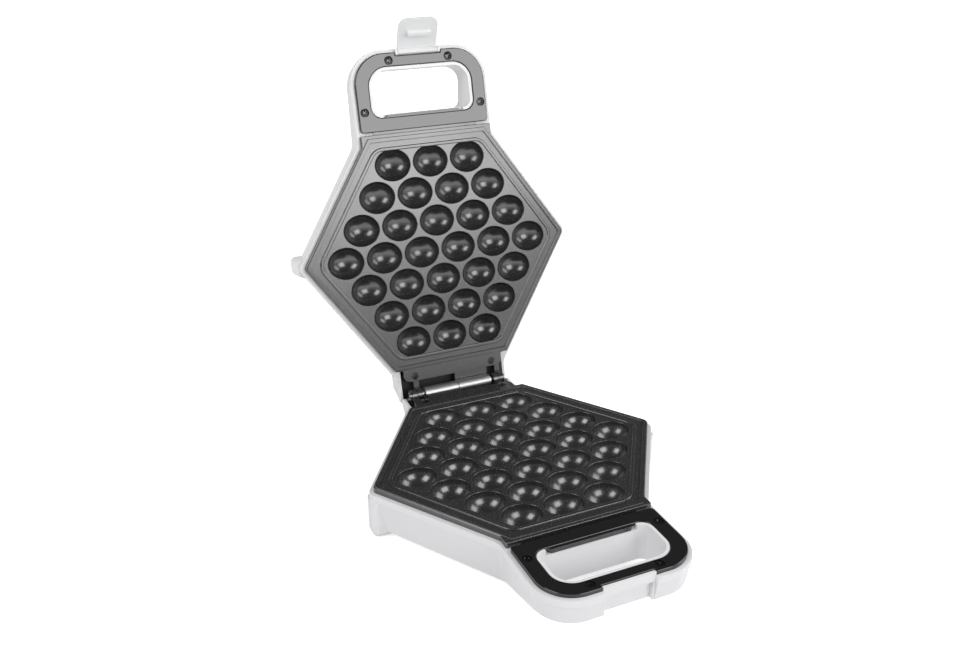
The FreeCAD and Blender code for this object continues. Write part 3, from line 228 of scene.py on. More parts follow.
class StageSettings(bpy.types.PropertyGroup):
    """Camera, lamps and background."""
    camera_azimuth: angle("Camera azimuth", "Angle round the pan", -24.1)
    camera_elevation: angle("Camera elevation", "Angle above the floor", 25.18)
    camera_distance: length("Camera distance", "From the aim point to the camera", 859.0)
    aim_side: length("Aim side", "Aim point to the right of the middle", 0.5)
    aim_back: length("Aim back", "Aim point behind the middle", 76.3)
    aim_height: length("Aim height", "Aim point above the floor", 121.5)
    focal_pixels: number("Focal length in pixels", "Focal length on a picture 960 pixels wide", 1018.0)
    box_distance: length("Softbox distance", "From the pan to each softbox", 1500.0)
    key_size: length("Key size", "Side of the softbox in front, seen in the lid's plate", 800.0)
    key_glow: number("Key glow", "Brightness of the front softbox", 3.9)
    side_size: length("Side size", "Side of the softboxes at the left and the right", 860.0)
    side_glow: number("Side glow", "Brightness of the left softbox", 4.0)
    fill_glow: number("Fill glow", "Brightness of the right softbox", 3.0)
    ambient: number("Ambient", "Brightness of the room", 0.47)
    mirror_share: number("Mirror share", "How bright the floor and the horizon are in reflections", 0.35)
    floor_size: length("Floor size", "Side of the floor", 8000.0)
    floor_glow: number("Floor glow", "How much of the floor's white is its own", 0.62)


GROUPS = {
    "waffle_plate": PlateSizes,
    "waffle_screw": ScrewSizes,
    "waffle_finish": Finishes,
    "waffle_stage": StageSettings,
}


# Node helpers

class Tree:
    """A node tree under construction: each call adds a node and links its inputs."""

    def __init__(self, tree):
        self.tree = tree

    def add(self, kind, settings=None, **inputs):
        """Add a node; an input is a value or an output socket, by name with spaces as underscores."""
        made = self.tree.nodes.new(kind)
        for name, value in (settings or {}).items():
            setattr(made, name, value)
        for name, value in inputs.items():
            self.feed(made, name, value)
        return made

    def feed(self, made, name, value):
        """Set or link one input, by its name, or by its number after at_ where names repeat."""
        if name.startswith("at_"):
            socket = made.inputs[int(name[3:])]
        else:
            wanted = name.replace("_", " ").lower()
            socket = next(s for s in made.inputs if s.name.lower() == wanted and s.enabled)
        if isinstance(value, bpy.types.NodeSocket):
            self.tree.links.new(value, socket)
        elif isinstance(value, bpy.types.Node):
            self.tree.links.new(value.outputs[0], socket)
        else:
            socket.default_value = value

    def math(self, operation, first, second=0.0):
        """The result of one operation on one or two values."""
        return self.add("ShaderNodeMath", {"operation": operation}, at_0=first, at_1=second).outputs[0]

    def plus(self, first, second):
        """The two values added."""
        return self.math("ADD", first, second)

    def minus(self, first, second):
        """The first value less the second."""
        return self.math("SUBTRACT", first, second)

    def times(self, first, second):
        """The two values multiplied."""
        return self.math("MULTIPLY", first, second)

    def divide(self, first, second):
        """The first value divided by the second."""
        return self.math("DIVIDE", first, second)


def cleared(holder):
    """The emptied node tree of a material or a world."""
    holder.use_nodes = True
    holder.node_tree.nodes.clear()
    return Tree(holder.node_tree)


def surface_group(name, build, inputs, outputs):
    """A shader node group, made once; a tuple makes a colour input, the title Colour a colour output."""
    found = bpy.data.node_groups.get(name)
    if found:
        return found
    group = bpy.data.node_groups.new(name, "ShaderNodeTree")
    for title, default in inputs.items():
        kind = "NodeSocketColor" if isinstance(default, tuple) else "NodeSocketFloat"
        socket = group.interface.new_socket(title, in_out="INPUT", socket_type=kind)
        socket.default_value = default
    for title in outputs:
        kind = "NodeSocketColor" if title == "Colour" else "NodeSocketFloat"
        group.interface.new_socket(title, in_out="OUTPUT", socket_type=kind)
    tree = Tree(group)
    build(tree, tree.add("NodeGroupInput"), tree.add("NodeGroupOutput"))
    return group


def build_moulded(tree, start, end):
    """Fine unevenness of a moulded or coated skin: a height, a colour and a roughness."""
    place = tree.add("ShaderNodeTexCoord").outputs["Object"]
    fine = tree.add("ShaderNodeTexNoise", Vector=place, Scale=start.outputs["Grain"], Detail=3.0,
                    Roughness=0.6)
    broad = tree.add("ShaderNodeTexNoise", Vector=place, Scale=start.outputs["Patch"], Detail=2.0)
    low = tree.minus(1.0, start.outputs["Contrast"])
    high = tree.plus(1.0, start.outputs["Contrast"])
    shade = tree.add("ShaderNodeMapRange", Value=fine.outputs[0], To_Min=low, To_Max=high, **NOISE_SPAN)
    tone = tree.add("ShaderNodeVectorMath", {"operation": "SCALE"}, at_0=start.outputs["Colour"], Scale=shade)
    shine = tree.add("ShaderNodeMapRange", Value=broad.outputs[0], To_Min=start.outputs["Low Roughness"],
                     To_Max=start.outputs["High Roughness"], **NOISE_SPAN)
    tree.feed(end, "Colour", tone)
    tree.feed(end, "Roughness", shine)
    tree.feed(end, "Height", fine)


def moulded_group():
    """The group that every plastic, coating and metal here starts from."""
    inputs = {"Colour": (0.5, 0.5, 0.5, 1.0), "Grain": 800.0, "Patch": 30.0, "Contrast": 0.1,
              "Low Roughness": 0.3, "High Roughness": 0.4}
    return surface_group("moulded_surface", build_moulded, inputs, ("Colour", "Roughness", "Height"))


def surface(name, tone, grain, contrast, rough, patch=25.0, bump=0.05, depth=0.02, **plain):
    """A material on the shared moulded surface; plain values go straight to the shader."""
    material = bpy.data.materials.new(name)
    tree = cleared(material)
    skin = tree.add("ShaderNodeGroup", {"node_tree": moulded_group()})
    for title, value in (("Colour", (*tone, 1.0)), ("Grain", grain), ("Patch", patch), ("Contrast", contrast),
                         ("Low Roughness", rough[0]), ("High Roughness", rough[1])):
        skin.inputs[title].default_value = value
    relief = tree.add("ShaderNodeBump", Strength=bump, Distance=depth * MM, Height=skin.outputs["Height"])
    shader = tree.add("ShaderNodeBsdfPrincipled", Base_Color=skin.outputs["Colour"],
                      Roughness=skin.outputs["Roughness"], Normal=relief.outputs[0], **plain)
    tree.add("ShaderNodeOutputMaterial", Surface=shader.outputs[0])
    return material


def finishes(context):
    """All finishes of the pan, made once, by material slot."""
    look = context.scene.waffle_finish
    shell = {"bump": 0.04, "depth": 0.04}
    gloss = {"bump": 0.03, "depth": 0.04, "IOR": 1.8}
    milky = {"Subsurface_Weight": 0.3, "Subsurface_Scale": 0.002, "Subsurface_Radius": (1.0, 1.0, 1.0)}
    metal = {"Metallic": 1.0}
    kinds = [
        ("white_casing", "white_gloss", look.casing, 260.0, 0.01, (0.24, 0.265), shell),
        ("black_cover", "black_gloss", look.cover, 180.0, 0.1, (0.06, 0.10), gloss),
        ("latch_plastic", "milky_plastic", look.latch, 300.0, 0.01, (0.28, 0.36), milky),
        ("pin_steel", "drawn_steel", look.steel, 700.0, 0.1, (0.2, 0.265), metal),
        ("heater_sheath", "heater_sheath", look.steel, 400.0, 0.25, (0.45, 0.6), metal),
        ("shield_steel", "shield_steel", look.steel, 500.0, 0.08, (0.28, 0.36), metal),
        ("bright_screw", "zinc_plate", look.steel, 900.0, 0.1, (0.3, 0.4), metal),
        ("fuse_metal", "fuse_metal", look.steel, 900.0, 0.05, (0.2, 0.265), metal),
        ("dark_screw", "blackened_steel", look.dark_steel, 900.0, 0.2, (0.18, 0.265), metal),
        ("black_block", "heatproof_black", look.block, 600.0, 0.2, (0.5, 0.6), {}),
        ("ceramic_body", "ceramic_filled", look.ceramic, 700.0, 0.08, (0.5, 0.6), {}),
        ("rubber_feet", "dark_rubber", look.rubber, 500.0, 0.2, (0.65, 0.75), {}),
        ("red_lens", "red_lens", look.red, 200.0, 0.02, (0.08, 0.12), {}),
        ("green_lens", "green_lens", look.green, 200.0, 0.02, (0.08, 0.12), {}),
        ("lamp_glass", "lamp_glass", look.glass, 200.0, 0.02, (0.03, 0.06), {}),
    ]
    made = {"nonstick_plate": coated_plate(look, context.scene.waffle_plate)}
    for slot, name, tone, grain, contrast, rough, more in kinds:
        made[slot] = surface(name, tone, grain=grain, contrast=contrast, rough=rough, **more)
    return made


def build_barrel_mask(tree, start, end):
    """One on the turned hinge barrels, zero on the rest of a plate."""
    place = tree.add("ShaderNodeTexCoord").outputs["Object"]
    apart = tree.add("ShaderNodeSeparateXYZ", Vector=place)
    back = tree.minus(apart.outputs[1], HINGE_POINT.y)
    up = tree.minus(apart.outputs[2], HINGE_POINT.z)
    reach = tree.math("SQRT", tree.plus(tree.times(back, back), tree.times(up, up)))
    near = tree.math("LESS_THAN", reach, start.outputs["Radius"])
    inside = tree.math("LESS_THAN", tree.math("ABSOLUTE", apart.outputs[0]), start.outputs["Half Length"])
    tree.feed(end, "Mask", tree.times(near, inside))


def build_flecks(tree, start, end):
    """Small pale flecks strewn through a coating."""
    place = tree.add("ShaderNodeTexCoord").outputs["Object"]
    cells = tree.add("ShaderNodeTexVoronoi", Vector=place, Scale=start.outputs["Count"])
    small = tree.math("LESS_THAN", cells.outputs["Distance"], start.outputs["Size"])
    chosen = tree.add("ShaderNodeSeparateColor", Color=cells.outputs["Color"])
    kept = tree.math("GREATER_THAN", chosen.outputs[0], start.outputs["Skipped"])
    tree.feed(end, "Mask", tree.times(small, kept))


def group_mask(tree, name, build, inputs):
    """The mask that a group gives in a material."""
    group = surface_group(name, build, inputs, ("Mask",))
    return tree.add("ShaderNodeGroup", {"node_tree": group}).outputs["Mask"]


def laid_over(tree, mask, below, tone):
    """A colour laid over another where a mask is one."""
    mixed = tree.add("ShaderNodeMix", {"data_type": "RGBA"}, at_0=mask, at_6=below, at_7=(*tone, 1.0))
    return mixed.outputs[2]


def coated_plate(look, sizes):
    """Speckled non-stick coating, with bare turned metal on the hinge barrels."""
    material = surface("nonstick_coat", look.coating, grain=1500.0, patch=18.0, contrast=0.25,
                       rough=(0.22, 0.265), bump=0.2, depth=0.05, IOR=2.1)
    tree = Tree(material.node_tree)
    shader = next(made for made in material.node_tree.nodes if made.type == "BSDF_PRINCIPLED")
    skin = next(made for made in material.node_tree.nodes if made.type == "GROUP")
    margin = 0.1 * MM
    reach = {"Radius": sizes.knuckle_radius + margin,
             "Half Length": sizes.barrel_gap + sizes.barrel_length + margin}
    barrel = group_mask(tree, "hinge_barrels", build_barrel_mask, reach)
    flecks = group_mask(tree, "coating_flecks", build_flecks, FLECKS)
    speckled = laid_over(tree, flecks, skin.outputs["Colour"], look.fleck)
    tree.feed(shader, "Base_Color", laid_over(tree, barrel, speckled, look.bare_metal))
    tree.feed(shader, "Metallic", barrel)
    rougher = tree.times(barrel, BARREL_ROUGHENING)
    tree.feed(shader, "Roughness", tree.plus(skin.outputs["Roughness"], rougher))
    return material


# Mesh helpers

def add_object(name, data):
    """A new object in the scene."""
    made = bpy.data.objects.new(name, data)
    bpy.context.scene.collection.objects.link(made)
    return made


def new_piece(name, mesh, body, node):
    """A finished piece in the pan's frame that stands for a CAD node."""
    piece = add_object(name, mesh)
    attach(piece, body)
    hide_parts(node)


def coat(mesh, finish):
    """Give a mesh one finish."""
    mesh.materials.clear()
    mesh.materials.append(finish)


def slot_of(node):
    """The material slot that the record gives a node."""
    return next(part["material_slot"] for part in frame["record"]["subparts"] if part["node"] == node)


def offset_corners(corners, inset):
    """The same outline drawn in by an inset; each corner is (x, y, radius)."""
    count = len(corners)
    area = sum(corners[i - 1][0] * corners[i][1] - corners[i][0] * corners[i - 1][1] for i in range(count))
    turn = 1 if area > 0 else -1
    least_radius = 0.05 * MM
    moved = []
    for index in range(count):
        x0, y0, _ = corners[index - 1]
        x1, y1, radius = corners[index]
        x2, y2, _ = corners[(index + 1) % count]
        into = Vector((x1 - x0, y1 - y0)).normalized()
        out = Vector((x2 - x1, y2 - y1)).normalized()
        first = Vector((-into.y, into.x)) * turn
        last = Vector((-out.y, out.x)) * turn
        bisector = (first + last) / (1 + first.dot(last))
        convex = (into.x * out.y - into.y * out.x) * turn > 0
        new_radius = max(radius + (-inset if convex else inset), least_radius)
        moved.append((x1 + bisector.x * inset, y1 + bisector.y * inset, new_radius))
    return moved


def outline_points(corners):
    """Points along an outline with rounded corners, the same number for each corner."""
    points = []
    count = len(corners)
    for index in range(count):
        before = Vector(corners[index - 1][:2])
        here = Vector(corners[index][:2])
        after = Vector(corners[(index + 1) % count][:2])
        radius = corners[index][2]
        back = (before - here).normalized()
        ahead = (after - here).normalized()
        half = back.angle(ahead) / 2
        leg = radius / math.tan(half)
        centre = here + (back + ahead).normalized() * (radius / math.sin(half))
        start = here + back * leg - centre
        end = here + ahead * leg - centre
        turn = start.angle_signed(end)
        for step in range(CORNER_STEPS + 1):
            spin = Matrix.Rotation(-turn * step / CORNER_STEPS, 2)
            points.append(centre + spin @ start)
    return points


def add_ring(mesh, points, height):
    """New vertices along a closed outline at one height."""
    return [mesh.verts.new((point.x, point.y, height)) for point in points]


def join_rings(mesh, lower, upper):
    """A band of quads between two rings with as many points."""
    count = len(lower)
    for index in range(count):
        following = (index + 1) % count
        mesh.faces.new((lower[index], lower[following], upper[following], upper[index]))


def ring_edges(mesh, ring):
    """The edges of a closed ring, made where they are missing."""
    edges = []
    for index, vertex in enumerate(ring):
        following = ring[(index + 1) % len(ring)]
        edges.append(mesh.edges.get((vertex, following)) or mesh.edges.new((vertex, following)))
    return edges


def fill_between(mesh, rings):
    """A flat face inside the first ring, open at the other rings."""
    edges = [edge for ring in rings for edge in ring_edges(mesh, ring)]
    bmesh.ops.triangle_fill(mesh, edges=edges, use_beauty=True, use_dissolve=False)


def add_prism(mesh, points, low, high):
    """A closed prism on an outline, between two heights."""
    lower = add_ring(mesh, points, low)
    upper = add_ring(mesh, points, high)
    join_rings(mesh, lower, upper)
    fill_between(mesh, [lower])
    fill_between(mesh, [upper])


def to_mesh(mesh, name):
    """A Blender mesh with its faces pointing outwards."""
    bmesh.ops.recalc_face_normals(mesh, faces=mesh.faces)
    made = bpy.data.meshes.new(name)
    mesh.to_mesh(made)
    mesh.free()
    return made


def evaluated(piece, name):
    """The piece's mesh with its modifiers worked in."""
    graph = bpy.context.evaluated_depsgraph_get()
    made = bpy.data.meshes.new_from_object(piece.evaluated_get(graph))
    made.name = name
    return made


def with_modifiers(name, mesh, build):
    """A mesh after the modifiers that a function adds to a helper object."""
    helper = add_object(name, mesh)
    build(helper)
    made = evaluated(helper, name)
    bpy.data.objects.remove(helper)
    return made


def smooth(name, mesh):
    """Soft shading, sharp past an angle, with flat faces kept flat beside their roundings."""
    mesh.shade_smooth()
    mesh.set_sharp_from_angle(angle=SHARP_ANGLE)

    def build(helper):
        weighted = helper.modifiers.new("flat_faces", "WEIGHTED_NORMAL")
        weighted.mode = "FACE_AREA"
        weighted.weight = NORMAL_WEIGHT
        weighted.keep_sharp = True
    return with_modifiers(name, mesh, build)


def node_tree(name, sockets):
    """A Geometry Nodes tree with a geometry input, named inputs and a geometry output."""
    group = bpy.data.node_groups.new(name, "GeometryNodeTree")
    group.interface.new_socket("Geometry", in_out="INPUT", socket_type="NodeSocketGeometry")
    group.interface.new_socket("Geometry", in_out="OUTPUT", socket_type="NodeSocketGeometry")
    names = {}
    for title, kind in sockets:
        names[title] = group.interface.new_socket(title, in_out="INPUT", socket_type=kind).identifier
    tree = Tree(group)
    return tree, tree.add("NodeGroupInput"), tree.add("NodeGroupOutput"), names


def run_tree(name, mesh, tree, names, values):
    """A mesh after a Geometry Nodes tree with these input values."""
    def build(helper):
        modifier = helper.modifiers.new(tree.tree.name, "NODES")
        modifier.node_group = tree.tree
        for title, value in values.items():
            modifier[names[title]] = value
    return with_modifiers(name, mesh, build)


# Frames of the two castings

def base_place():
    """From the base casting's own frame to the pan's."""
    sizes = bpy.context.scene.waffle_plate
    return Matrix.Translation((0, 0, HINGE_POINT.z + sizes.hinge_drop))


def lid_place():
    """From the lid casting's own frame to the pan's, at rest on its stop."""
    turned_over = base_place() @ Matrix.Rotation(math.pi, 4, "Y")
    swing = (Matrix.Translation(HINGE_POINT) @ Matrix.Rotation(-OPENING, 4, "X")
             @ Matrix.Translation(-HINGE_POINT))
    return swing @ turned_over


# Plates

def plate_ridge(sizes):
    """From the middle row to the hexagon's ends."""
    return sizes.row_pitch * ROWS_EACH_SIDE + sizes.ridge_margin


def plate_slant(sizes):
    """Distance of the hexagon's slanted side from the middle, and its X and Y shares."""
    slant = math.hypot(sizes.row_pitch, sizes.cell_pitch / 2)
    x_share = sizes.row_pitch / slant
    y_share = sizes.cell_pitch / 2 / slant
    line = x_share * sizes.cell_pitch * (CELLS_IN_MIDDLE_ROW - 1) / 2 + sizes.slant_margin
    return line, x_share, y_share


def mirrored(right):
    """A whole outline from the corners of its right half."""
    return right + [(-x, y, radius) for x, y, radius in reversed(right)]


def hexagon(sizes, inset, side_round, end_round):
    """Corners of the plate's outline, drawn in by an inset."""
    line, x_share, y_share = plate_slant(sizes)
    line -= inset
    end = plate_ridge(sizes) - inset
    wide = (line - y_share * end) / x_share
    return mirrored([(wide, -end, end_round), (line / x_share, 0.0, side_round), (wide, end, end_round)])


def flange_outline(sizes):
    """Corners of the flange, with its ears at the handle and its strip at the hinge."""
    line, x_share, y_share = plate_slant(sizes)
    ridge = plate_ridge(sizes)
    ear = sizes.ear_half_width
    end = ridge + sizes.flange_reach
    strip_root = 0.3 * MM
    return mirrored([
        (ear, -end, sizes.ear_round),
        (ear, -(line - x_share * ear) / y_share, sizes.ear_round),
        (line / x_share, 0.0, sizes.tip_round),
        ((line - y_share * ridge) / x_share, ridge, sizes.ear_round),
        (sizes.strip_half_width, ridge + strip_root, sizes.ear_round),
        (sizes.strip_half_width, ridge + sizes.strip_depth, sizes.strip_round),
    ])


def cell_places(sizes):
    """Centres of the thirty cells."""
    places = []
    for row in range(-ROWS_EACH_SIDE, ROWS_EACH_SIDE + 1):
        in_row = CELLS_IN_MIDDLE_ROW - abs(row)
        for place in range(in_row):
            places.append(Vector((sizes.cell_pitch * (place - (in_row - 1) / 2), sizes.row_pitch * row)))
    return places


def oval_points(centre, half_width, half_depth, steps=CELL_STEPS):
    """Points round one oval."""
    points = []
    for step in range(steps):
        turn = 2 * math.pi * step / steps
        points.append(centre + Vector((half_width * math.cos(turn), half_depth * math.sin(turn))))
    return points


def plate_rings(sizes):
    """Inset, two corner roundings and height of each ring, from the rim's foot to the cells' field."""
    foot = 0.6 * MM
    outer_bevel = 0.5 * MM
    bevel_middle = 0.15 * MM
    inner_bevel = 0.2 * MM
    outer = (sizes.tip_round, sizes.ear_round)
    inner = (sizes.rim_round, sizes.rim_round)
    moat = (sizes.moat_round, sizes.moat_round)
    rim = sizes.rim_width
    bead = rim + sizes.moat_width
    rings = [
        (foot, *outer, -sizes.flange_drop),
        (foot, *outer, -sizes.rim_top - outer_bevel),
        (foot + bevel_middle, *outer, -sizes.rim_top - bevel_middle),
        (foot + outer_bevel, *outer, -sizes.rim_top),
        (rim - inner_bevel, *inner, -sizes.rim_top),
        (rim, *inner, -sizes.rim_top - inner_bevel),
        (rim, *inner, -sizes.step_drop),
        (rim + sizes.moat_margin, *inner, -sizes.step_drop),
        (rim + 2 * sizes.moat_margin, *inner, -sizes.moat_drop),
        (bead, *moat, -sizes.moat_drop),
        (bead, *moat, -sizes.bead_drop - sizes.bead_bevel),
    ]
    for step in range(1, ROUNDING_STEPS + 1):
        turn = math.pi / 2 * step / ROUNDING_STEPS
        rings.append((bead + sizes.bead_bevel * (1 - math.cos(turn)), *moat,
                      -sizes.bead_drop - sizes.bead_bevel * (1 - math.sin(turn))))
    field = bead + sizes.bead_width
    field_round = sizes.moat_round - sizes.bead_width
    drop = sizes.field_drop - sizes.bead_drop
    for step in range(ROUNDING_STEPS + 1):
        turn = math.pi / 2 * step / ROUNDING_STEPS
        rings.append((field - drop * (1 - math.sin(turn)), field_round, field_round,
                      -sizes.bead_drop - drop * (1 - math.cos(turn))))
    return rings


def strip_screw_holes(mesh, sizes):
    """Both sunk holes in the hinge strip; gives the rings at their mouths and at their lower ends."""
    edge = 0.2 * MM
    levels = [(sizes.screw_hole + edge, sizes.flange_drop), (sizes.screw_hole, sizes.flange_drop + edge),
              (sizes.screw_hole, sizes.screw_floor), (sizes.shank_hole, sizes.screw_floor),
              (sizes.shank_hole, sizes.skirt_drop)]
    mouths = []
    ends = []
    for side in (-1, 1):
        place = Vector((side * sizes.screw_side, sizes.screw_back))
        hole = [add_ring(mesh, oval_points(place, radius, radius), -drop) for radius, drop in levels]
        for upper, lower in zip(hole, hole[1:]):
            join_rings(mesh, upper, lower)
        mouths.append(hole[0])
        ends.append(hole[-1])
    return mouths, ends


def plate_body(sizes):
    """Flange, rim, moat, bead and skirt of a plate, open where its cells go."""
    mesh = bmesh.new()
    flange = flange_outline(sizes)
    bevel = 0.35 * MM
    skirt_low = add_ring(mesh, outline_points(flange), -sizes.skirt_drop)
    skirt_high = add_ring(mesh, outline_points(flange), -sizes.flange_drop - bevel)
    flange_edge = add_ring(mesh, outline_points(offset_corners(flange, bevel)), -sizes.flange_drop)
    join_rings(mesh, skirt_low, skirt_high)
    join_rings(mesh, skirt_high, flange_edge)
    rings = []
    for inset, side_round, end_round, height in plate_rings(sizes):
        rings.append(add_ring(mesh, outline_points(hexagon(sizes, inset, side_round, end_round)), height))
        if len(rings) > 1:
            join_rings(mesh, rings[-2], rings[-1])
    heads, shanks = strip_screw_holes(mesh, sizes)
    fill_between(mesh, [flange_edge, rings[0], *heads])
    places = cell_places(sizes)
    lip = sizes.cell_lip
    mouths = [add_ring(mesh, oval_points(place, sizes.cell_half_width + lip, sizes.cell_round + lip),
                       -sizes.field_drop) for place in places]
    fill_between(mesh, [rings[-1], *mouths])
    inside = outline_points(hexagon(sizes, sizes.skirt_wall, sizes.rim_round, sizes.rim_round))
    skirt_inner = add_ring(mesh, inside, -sizes.skirt_drop)
    slab_edge = add_ring(mesh, inside, -sizes.slab_drop)
    fill_between(mesh, [skirt_low, skirt_inner, *shanks])
    join_rings(mesh, skirt_inner, slab_edge)
    wide = sizes.cell_half_width + sizes.cell_wall
    deep = sizes.cell_round + sizes.cell_wall
    share = math.sqrt(1 - ((sizes.slab_drop - sizes.field_drop) / deep) ** 2)
    cups = [add_ring(mesh, oval_points(place, wide * share, deep * share), -sizes.slab_drop)
            for place in places]
    fill_between(mesh, [slab_edge, *cups])
    return to_mesh(mesh, "plate_body")


def add_bowl(tree, profile_radius, profile_height):
    """A grid bent into a bowl: round its oval along one way and down its profile along the other."""
    grid = tree.add("GeometryNodeMeshGrid", Size_X=1.0, Size_Y=1.0, Vertices_X=CELL_STEPS + 1,
                    Vertices_Y=BOWL_STEPS + 1)
    place = tree.add("GeometryNodeInputPosition")
    apart = tree.add("ShaderNodeSeparateXYZ", Vector=place.outputs[0])
    turn = tree.times(tree.plus(apart.outputs[0], 0.5), 2 * math.pi)
    down = tree.plus(apart.outputs[1], 0.5)
    radius = profile_radius(down)
    height = profile_height(down)
    across = tree.times(tree.math("COSINE", turn), radius[0])
    along = tree.times(tree.math("SINE", turn), radius[1])
    point = tree.add("ShaderNodeCombineXYZ", X=across, Y=along, Z=height)
    bent = tree.add("GeometryNodeSetPosition", Geometry=grid.outputs[0], Position=point.outputs[0])
    return bent.outputs[0]


def cell_tree():
    """The tree that sets thirty cells, each a bowl with its wall, into a plate."""
    sizes = ("Cell Pitch", "Row Pitch", "Half Width", "Round", "Lip", "Wall", "Field Drop", "Slab Drop")
    sockets = [(title, "NodeSocketFloat") for title in sizes]
    tree, start, end, names = node_tree("waffle_cells", [*sockets, ("Finish", "NodeSocketMaterial")])
    rows = 2 * ROWS_EACH_SIDE + 1
    dots = tree.add("GeometryNodePoints", Count=rows * CELLS_IN_MIDDLE_ROW)
    index = tree.add("GeometryNodeInputIndex").outputs[0]
    counted = tree.math("FLOOR", tree.divide(index, CELLS_IN_MIDDLE_ROW))
    row = tree.minus(counted, ROWS_EACH_SIDE)
    place = tree.math("MODULO", index, CELLS_IN_MIDDLE_ROW)
    in_row = tree.minus(CELLS_IN_MIDDLE_ROW, tree.math("ABSOLUTE", row))
    middle = tree.divide(tree.minus(in_row, 1.0), 2.0)
    x = tree.times(tree.minus(place, middle), start.outputs["Cell Pitch"])
    y = tree.times(row, start.outputs["Row Pitch"])
    spot = tree.add("ShaderNodeCombineXYZ", X=x, Y=y)
    laid = tree.add("GeometryNodeSetPosition", Geometry=dots.outputs[0], Position=spot.outputs[0])
    beyond = tree.math("GREATER_THAN", place, tree.minus(in_row, 0.5))
    kept = tree.add("GeometryNodeDeleteGeometry", {"domain": "POINT"}, Geometry=laid.outputs[0],
                    Selection=beyond)

    lip = start.outputs["Lip"]
    lip_share = LIP_STEPS / BOWL_STEPS
    margin = 0.001

    def cavity_turns(down):
        """Whether a point is on the lip, its angle round the lip and its angle down the bowl."""
        on_lip = tree.math("LESS_THAN", down, lip_share + margin)
        lip_turn = tree.times(tree.divide(down, lip_share), math.pi / 2)
        deep = tree.divide(tree.minus(down, lip_share), 1 - lip_share)
        bowl_turn = tree.times(tree.math("MAXIMUM", deep, 0.0), math.pi / 2)
        return on_lip, lip_turn, bowl_turn

    def either(chosen, when_not, when_so):
        """One of two values."""
        return tree.add("GeometryNodeSwitch", {"input_type": "FLOAT"}, at_0=chosen, at_1=when_not,
                        at_2=when_so).outputs[0]

    def inside_radius(down):
        """Radii of the cavity: a rounded lip, then an ellipse down to the pole."""
        on_lip, lip_turn, bowl_turn = cavity_turns(down)
        lip_out = tree.times(lip, tree.minus(1.0, tree.math("SINE", lip_turn)))
        shrink = tree.math("COSINE", bowl_turn)
        radii = []
        for title in ("Half Width", "Round"):
            size = start.outputs[title]
            radii.append(either(on_lip, tree.times(size, shrink), tree.plus(size, lip_out)))
        return radii

    def inside_height(down):
        """Heights of the cavity, from the field down."""
        on_lip, lip_turn, bowl_turn = cavity_turns(down)
        lip_down = tree.times(lip, tree.minus(1.0, tree.math("COSINE", lip_turn)))
        depth = tree.minus(start.outputs["Round"], lip)
        bowl_down = tree.plus(lip, tree.times(depth, tree.math("SINE", bowl_turn)))
        fall = either(on_lip, bowl_down, lip_down)
        return tree.minus(tree.times(fall, -1.0), start.outputs["Field Drop"])

    outer_round = tree.plus(start.outputs["Round"], start.outputs["Wall"])
    outer_width = tree.plus(start.outputs["Half Width"], start.outputs["Wall"])
    sunk = tree.divide(tree.minus(start.outputs["Slab Drop"], start.outputs["Field Drop"]),
                     outer_round)
    first_turn = tree.math("ARCSINE", sunk)

    def cup_turn(down):
        """The angle down the cup, from the slab's underside to its pole."""
        rest = tree.minus(math.pi / 2, first_turn)
        return tree.plus(first_turn, tree.times(down, rest))

    def outside_radius(down):
        """Radii of the cup below the slab."""
        shrink = tree.math("COSINE", cup_turn(down))
        return [tree.times(outer_width, shrink), tree.times(outer_round, shrink)]

    def outside_height(down):
        """Heights of the cup below the slab."""
        fall = tree.times(outer_round, tree.math("SINE", cup_turn(down)))
        return tree.minus(tree.times(fall, -1.0), start.outputs["Field Drop"])

    cavity = add_bowl(tree, inside_radius, inside_height)
    cup = add_bowl(tree, outside_radius, outside_height)
    turned = tree.add("GeometryNodeFlipFaces", Mesh=cavity)
    pair = tree.add("GeometryNodeJoinGeometry")
    tree.feed(pair, "at_0", turned)
    tree.feed(pair, "at_0", cup)
    copies = tree.add("GeometryNodeInstanceOnPoints", Points=kept.outputs[0], Instance=pair.outputs[0])
    real = tree.add("GeometryNodeRealizeInstances", Geometry=copies.outputs[0])
    whole = tree.add("GeometryNodeJoinGeometry")
    tree.feed(whole, "at_0", start.outputs["Geometry"])
    tree.feed(whole, "at_0", real)
    weld = 0.003 * MM
    welded = tree.add("GeometryNodeMergeByDistance", Geometry=whole.outputs[0], Distance=weld)
    done = tree.add("GeometryNodeSetMaterial", Geometry=welded.outputs[0], Material=start.outputs["Finish"])
    tree.feed(end, "at_0", done)
    return tree, names


def knuckle_outline(sizes, axis_height, root):
    """A knuckle seen from the side: the round of the barrel and the arm that carries it."""
    centre = Vector((HINGE_POINT.y, axis_height))
    radius = sizes.knuckle_radius
    top = -sizes.flange_drop - sizes.arm_sink
    low_root = -sizes.skirt_drop
    low_end = -sizes.web_drop

    def turn_at(height):
        """Angle on the barrel's round at a height, or the nearest one."""
        return math.asin(max(-1.0, min(1.0, (height - centre.y) / radius)))

    points = [Vector((root, low_root))]
    start = -math.pi - turn_at(low_end)
    end = math.pi - turn_at(top)
    if centre.y - low_end > radius:
        points.append(Vector((centre.x, low_end)))
        start = -math.pi / 2
    for step in range(BARREL_STEPS + 1):
        turn = start + (end - start) * step / BARREL_STEPS
        points.append(centre + Vector((math.cos(turn), math.sin(turn))) * radius)
    points.append(Vector((root, top)))
    return centre, points


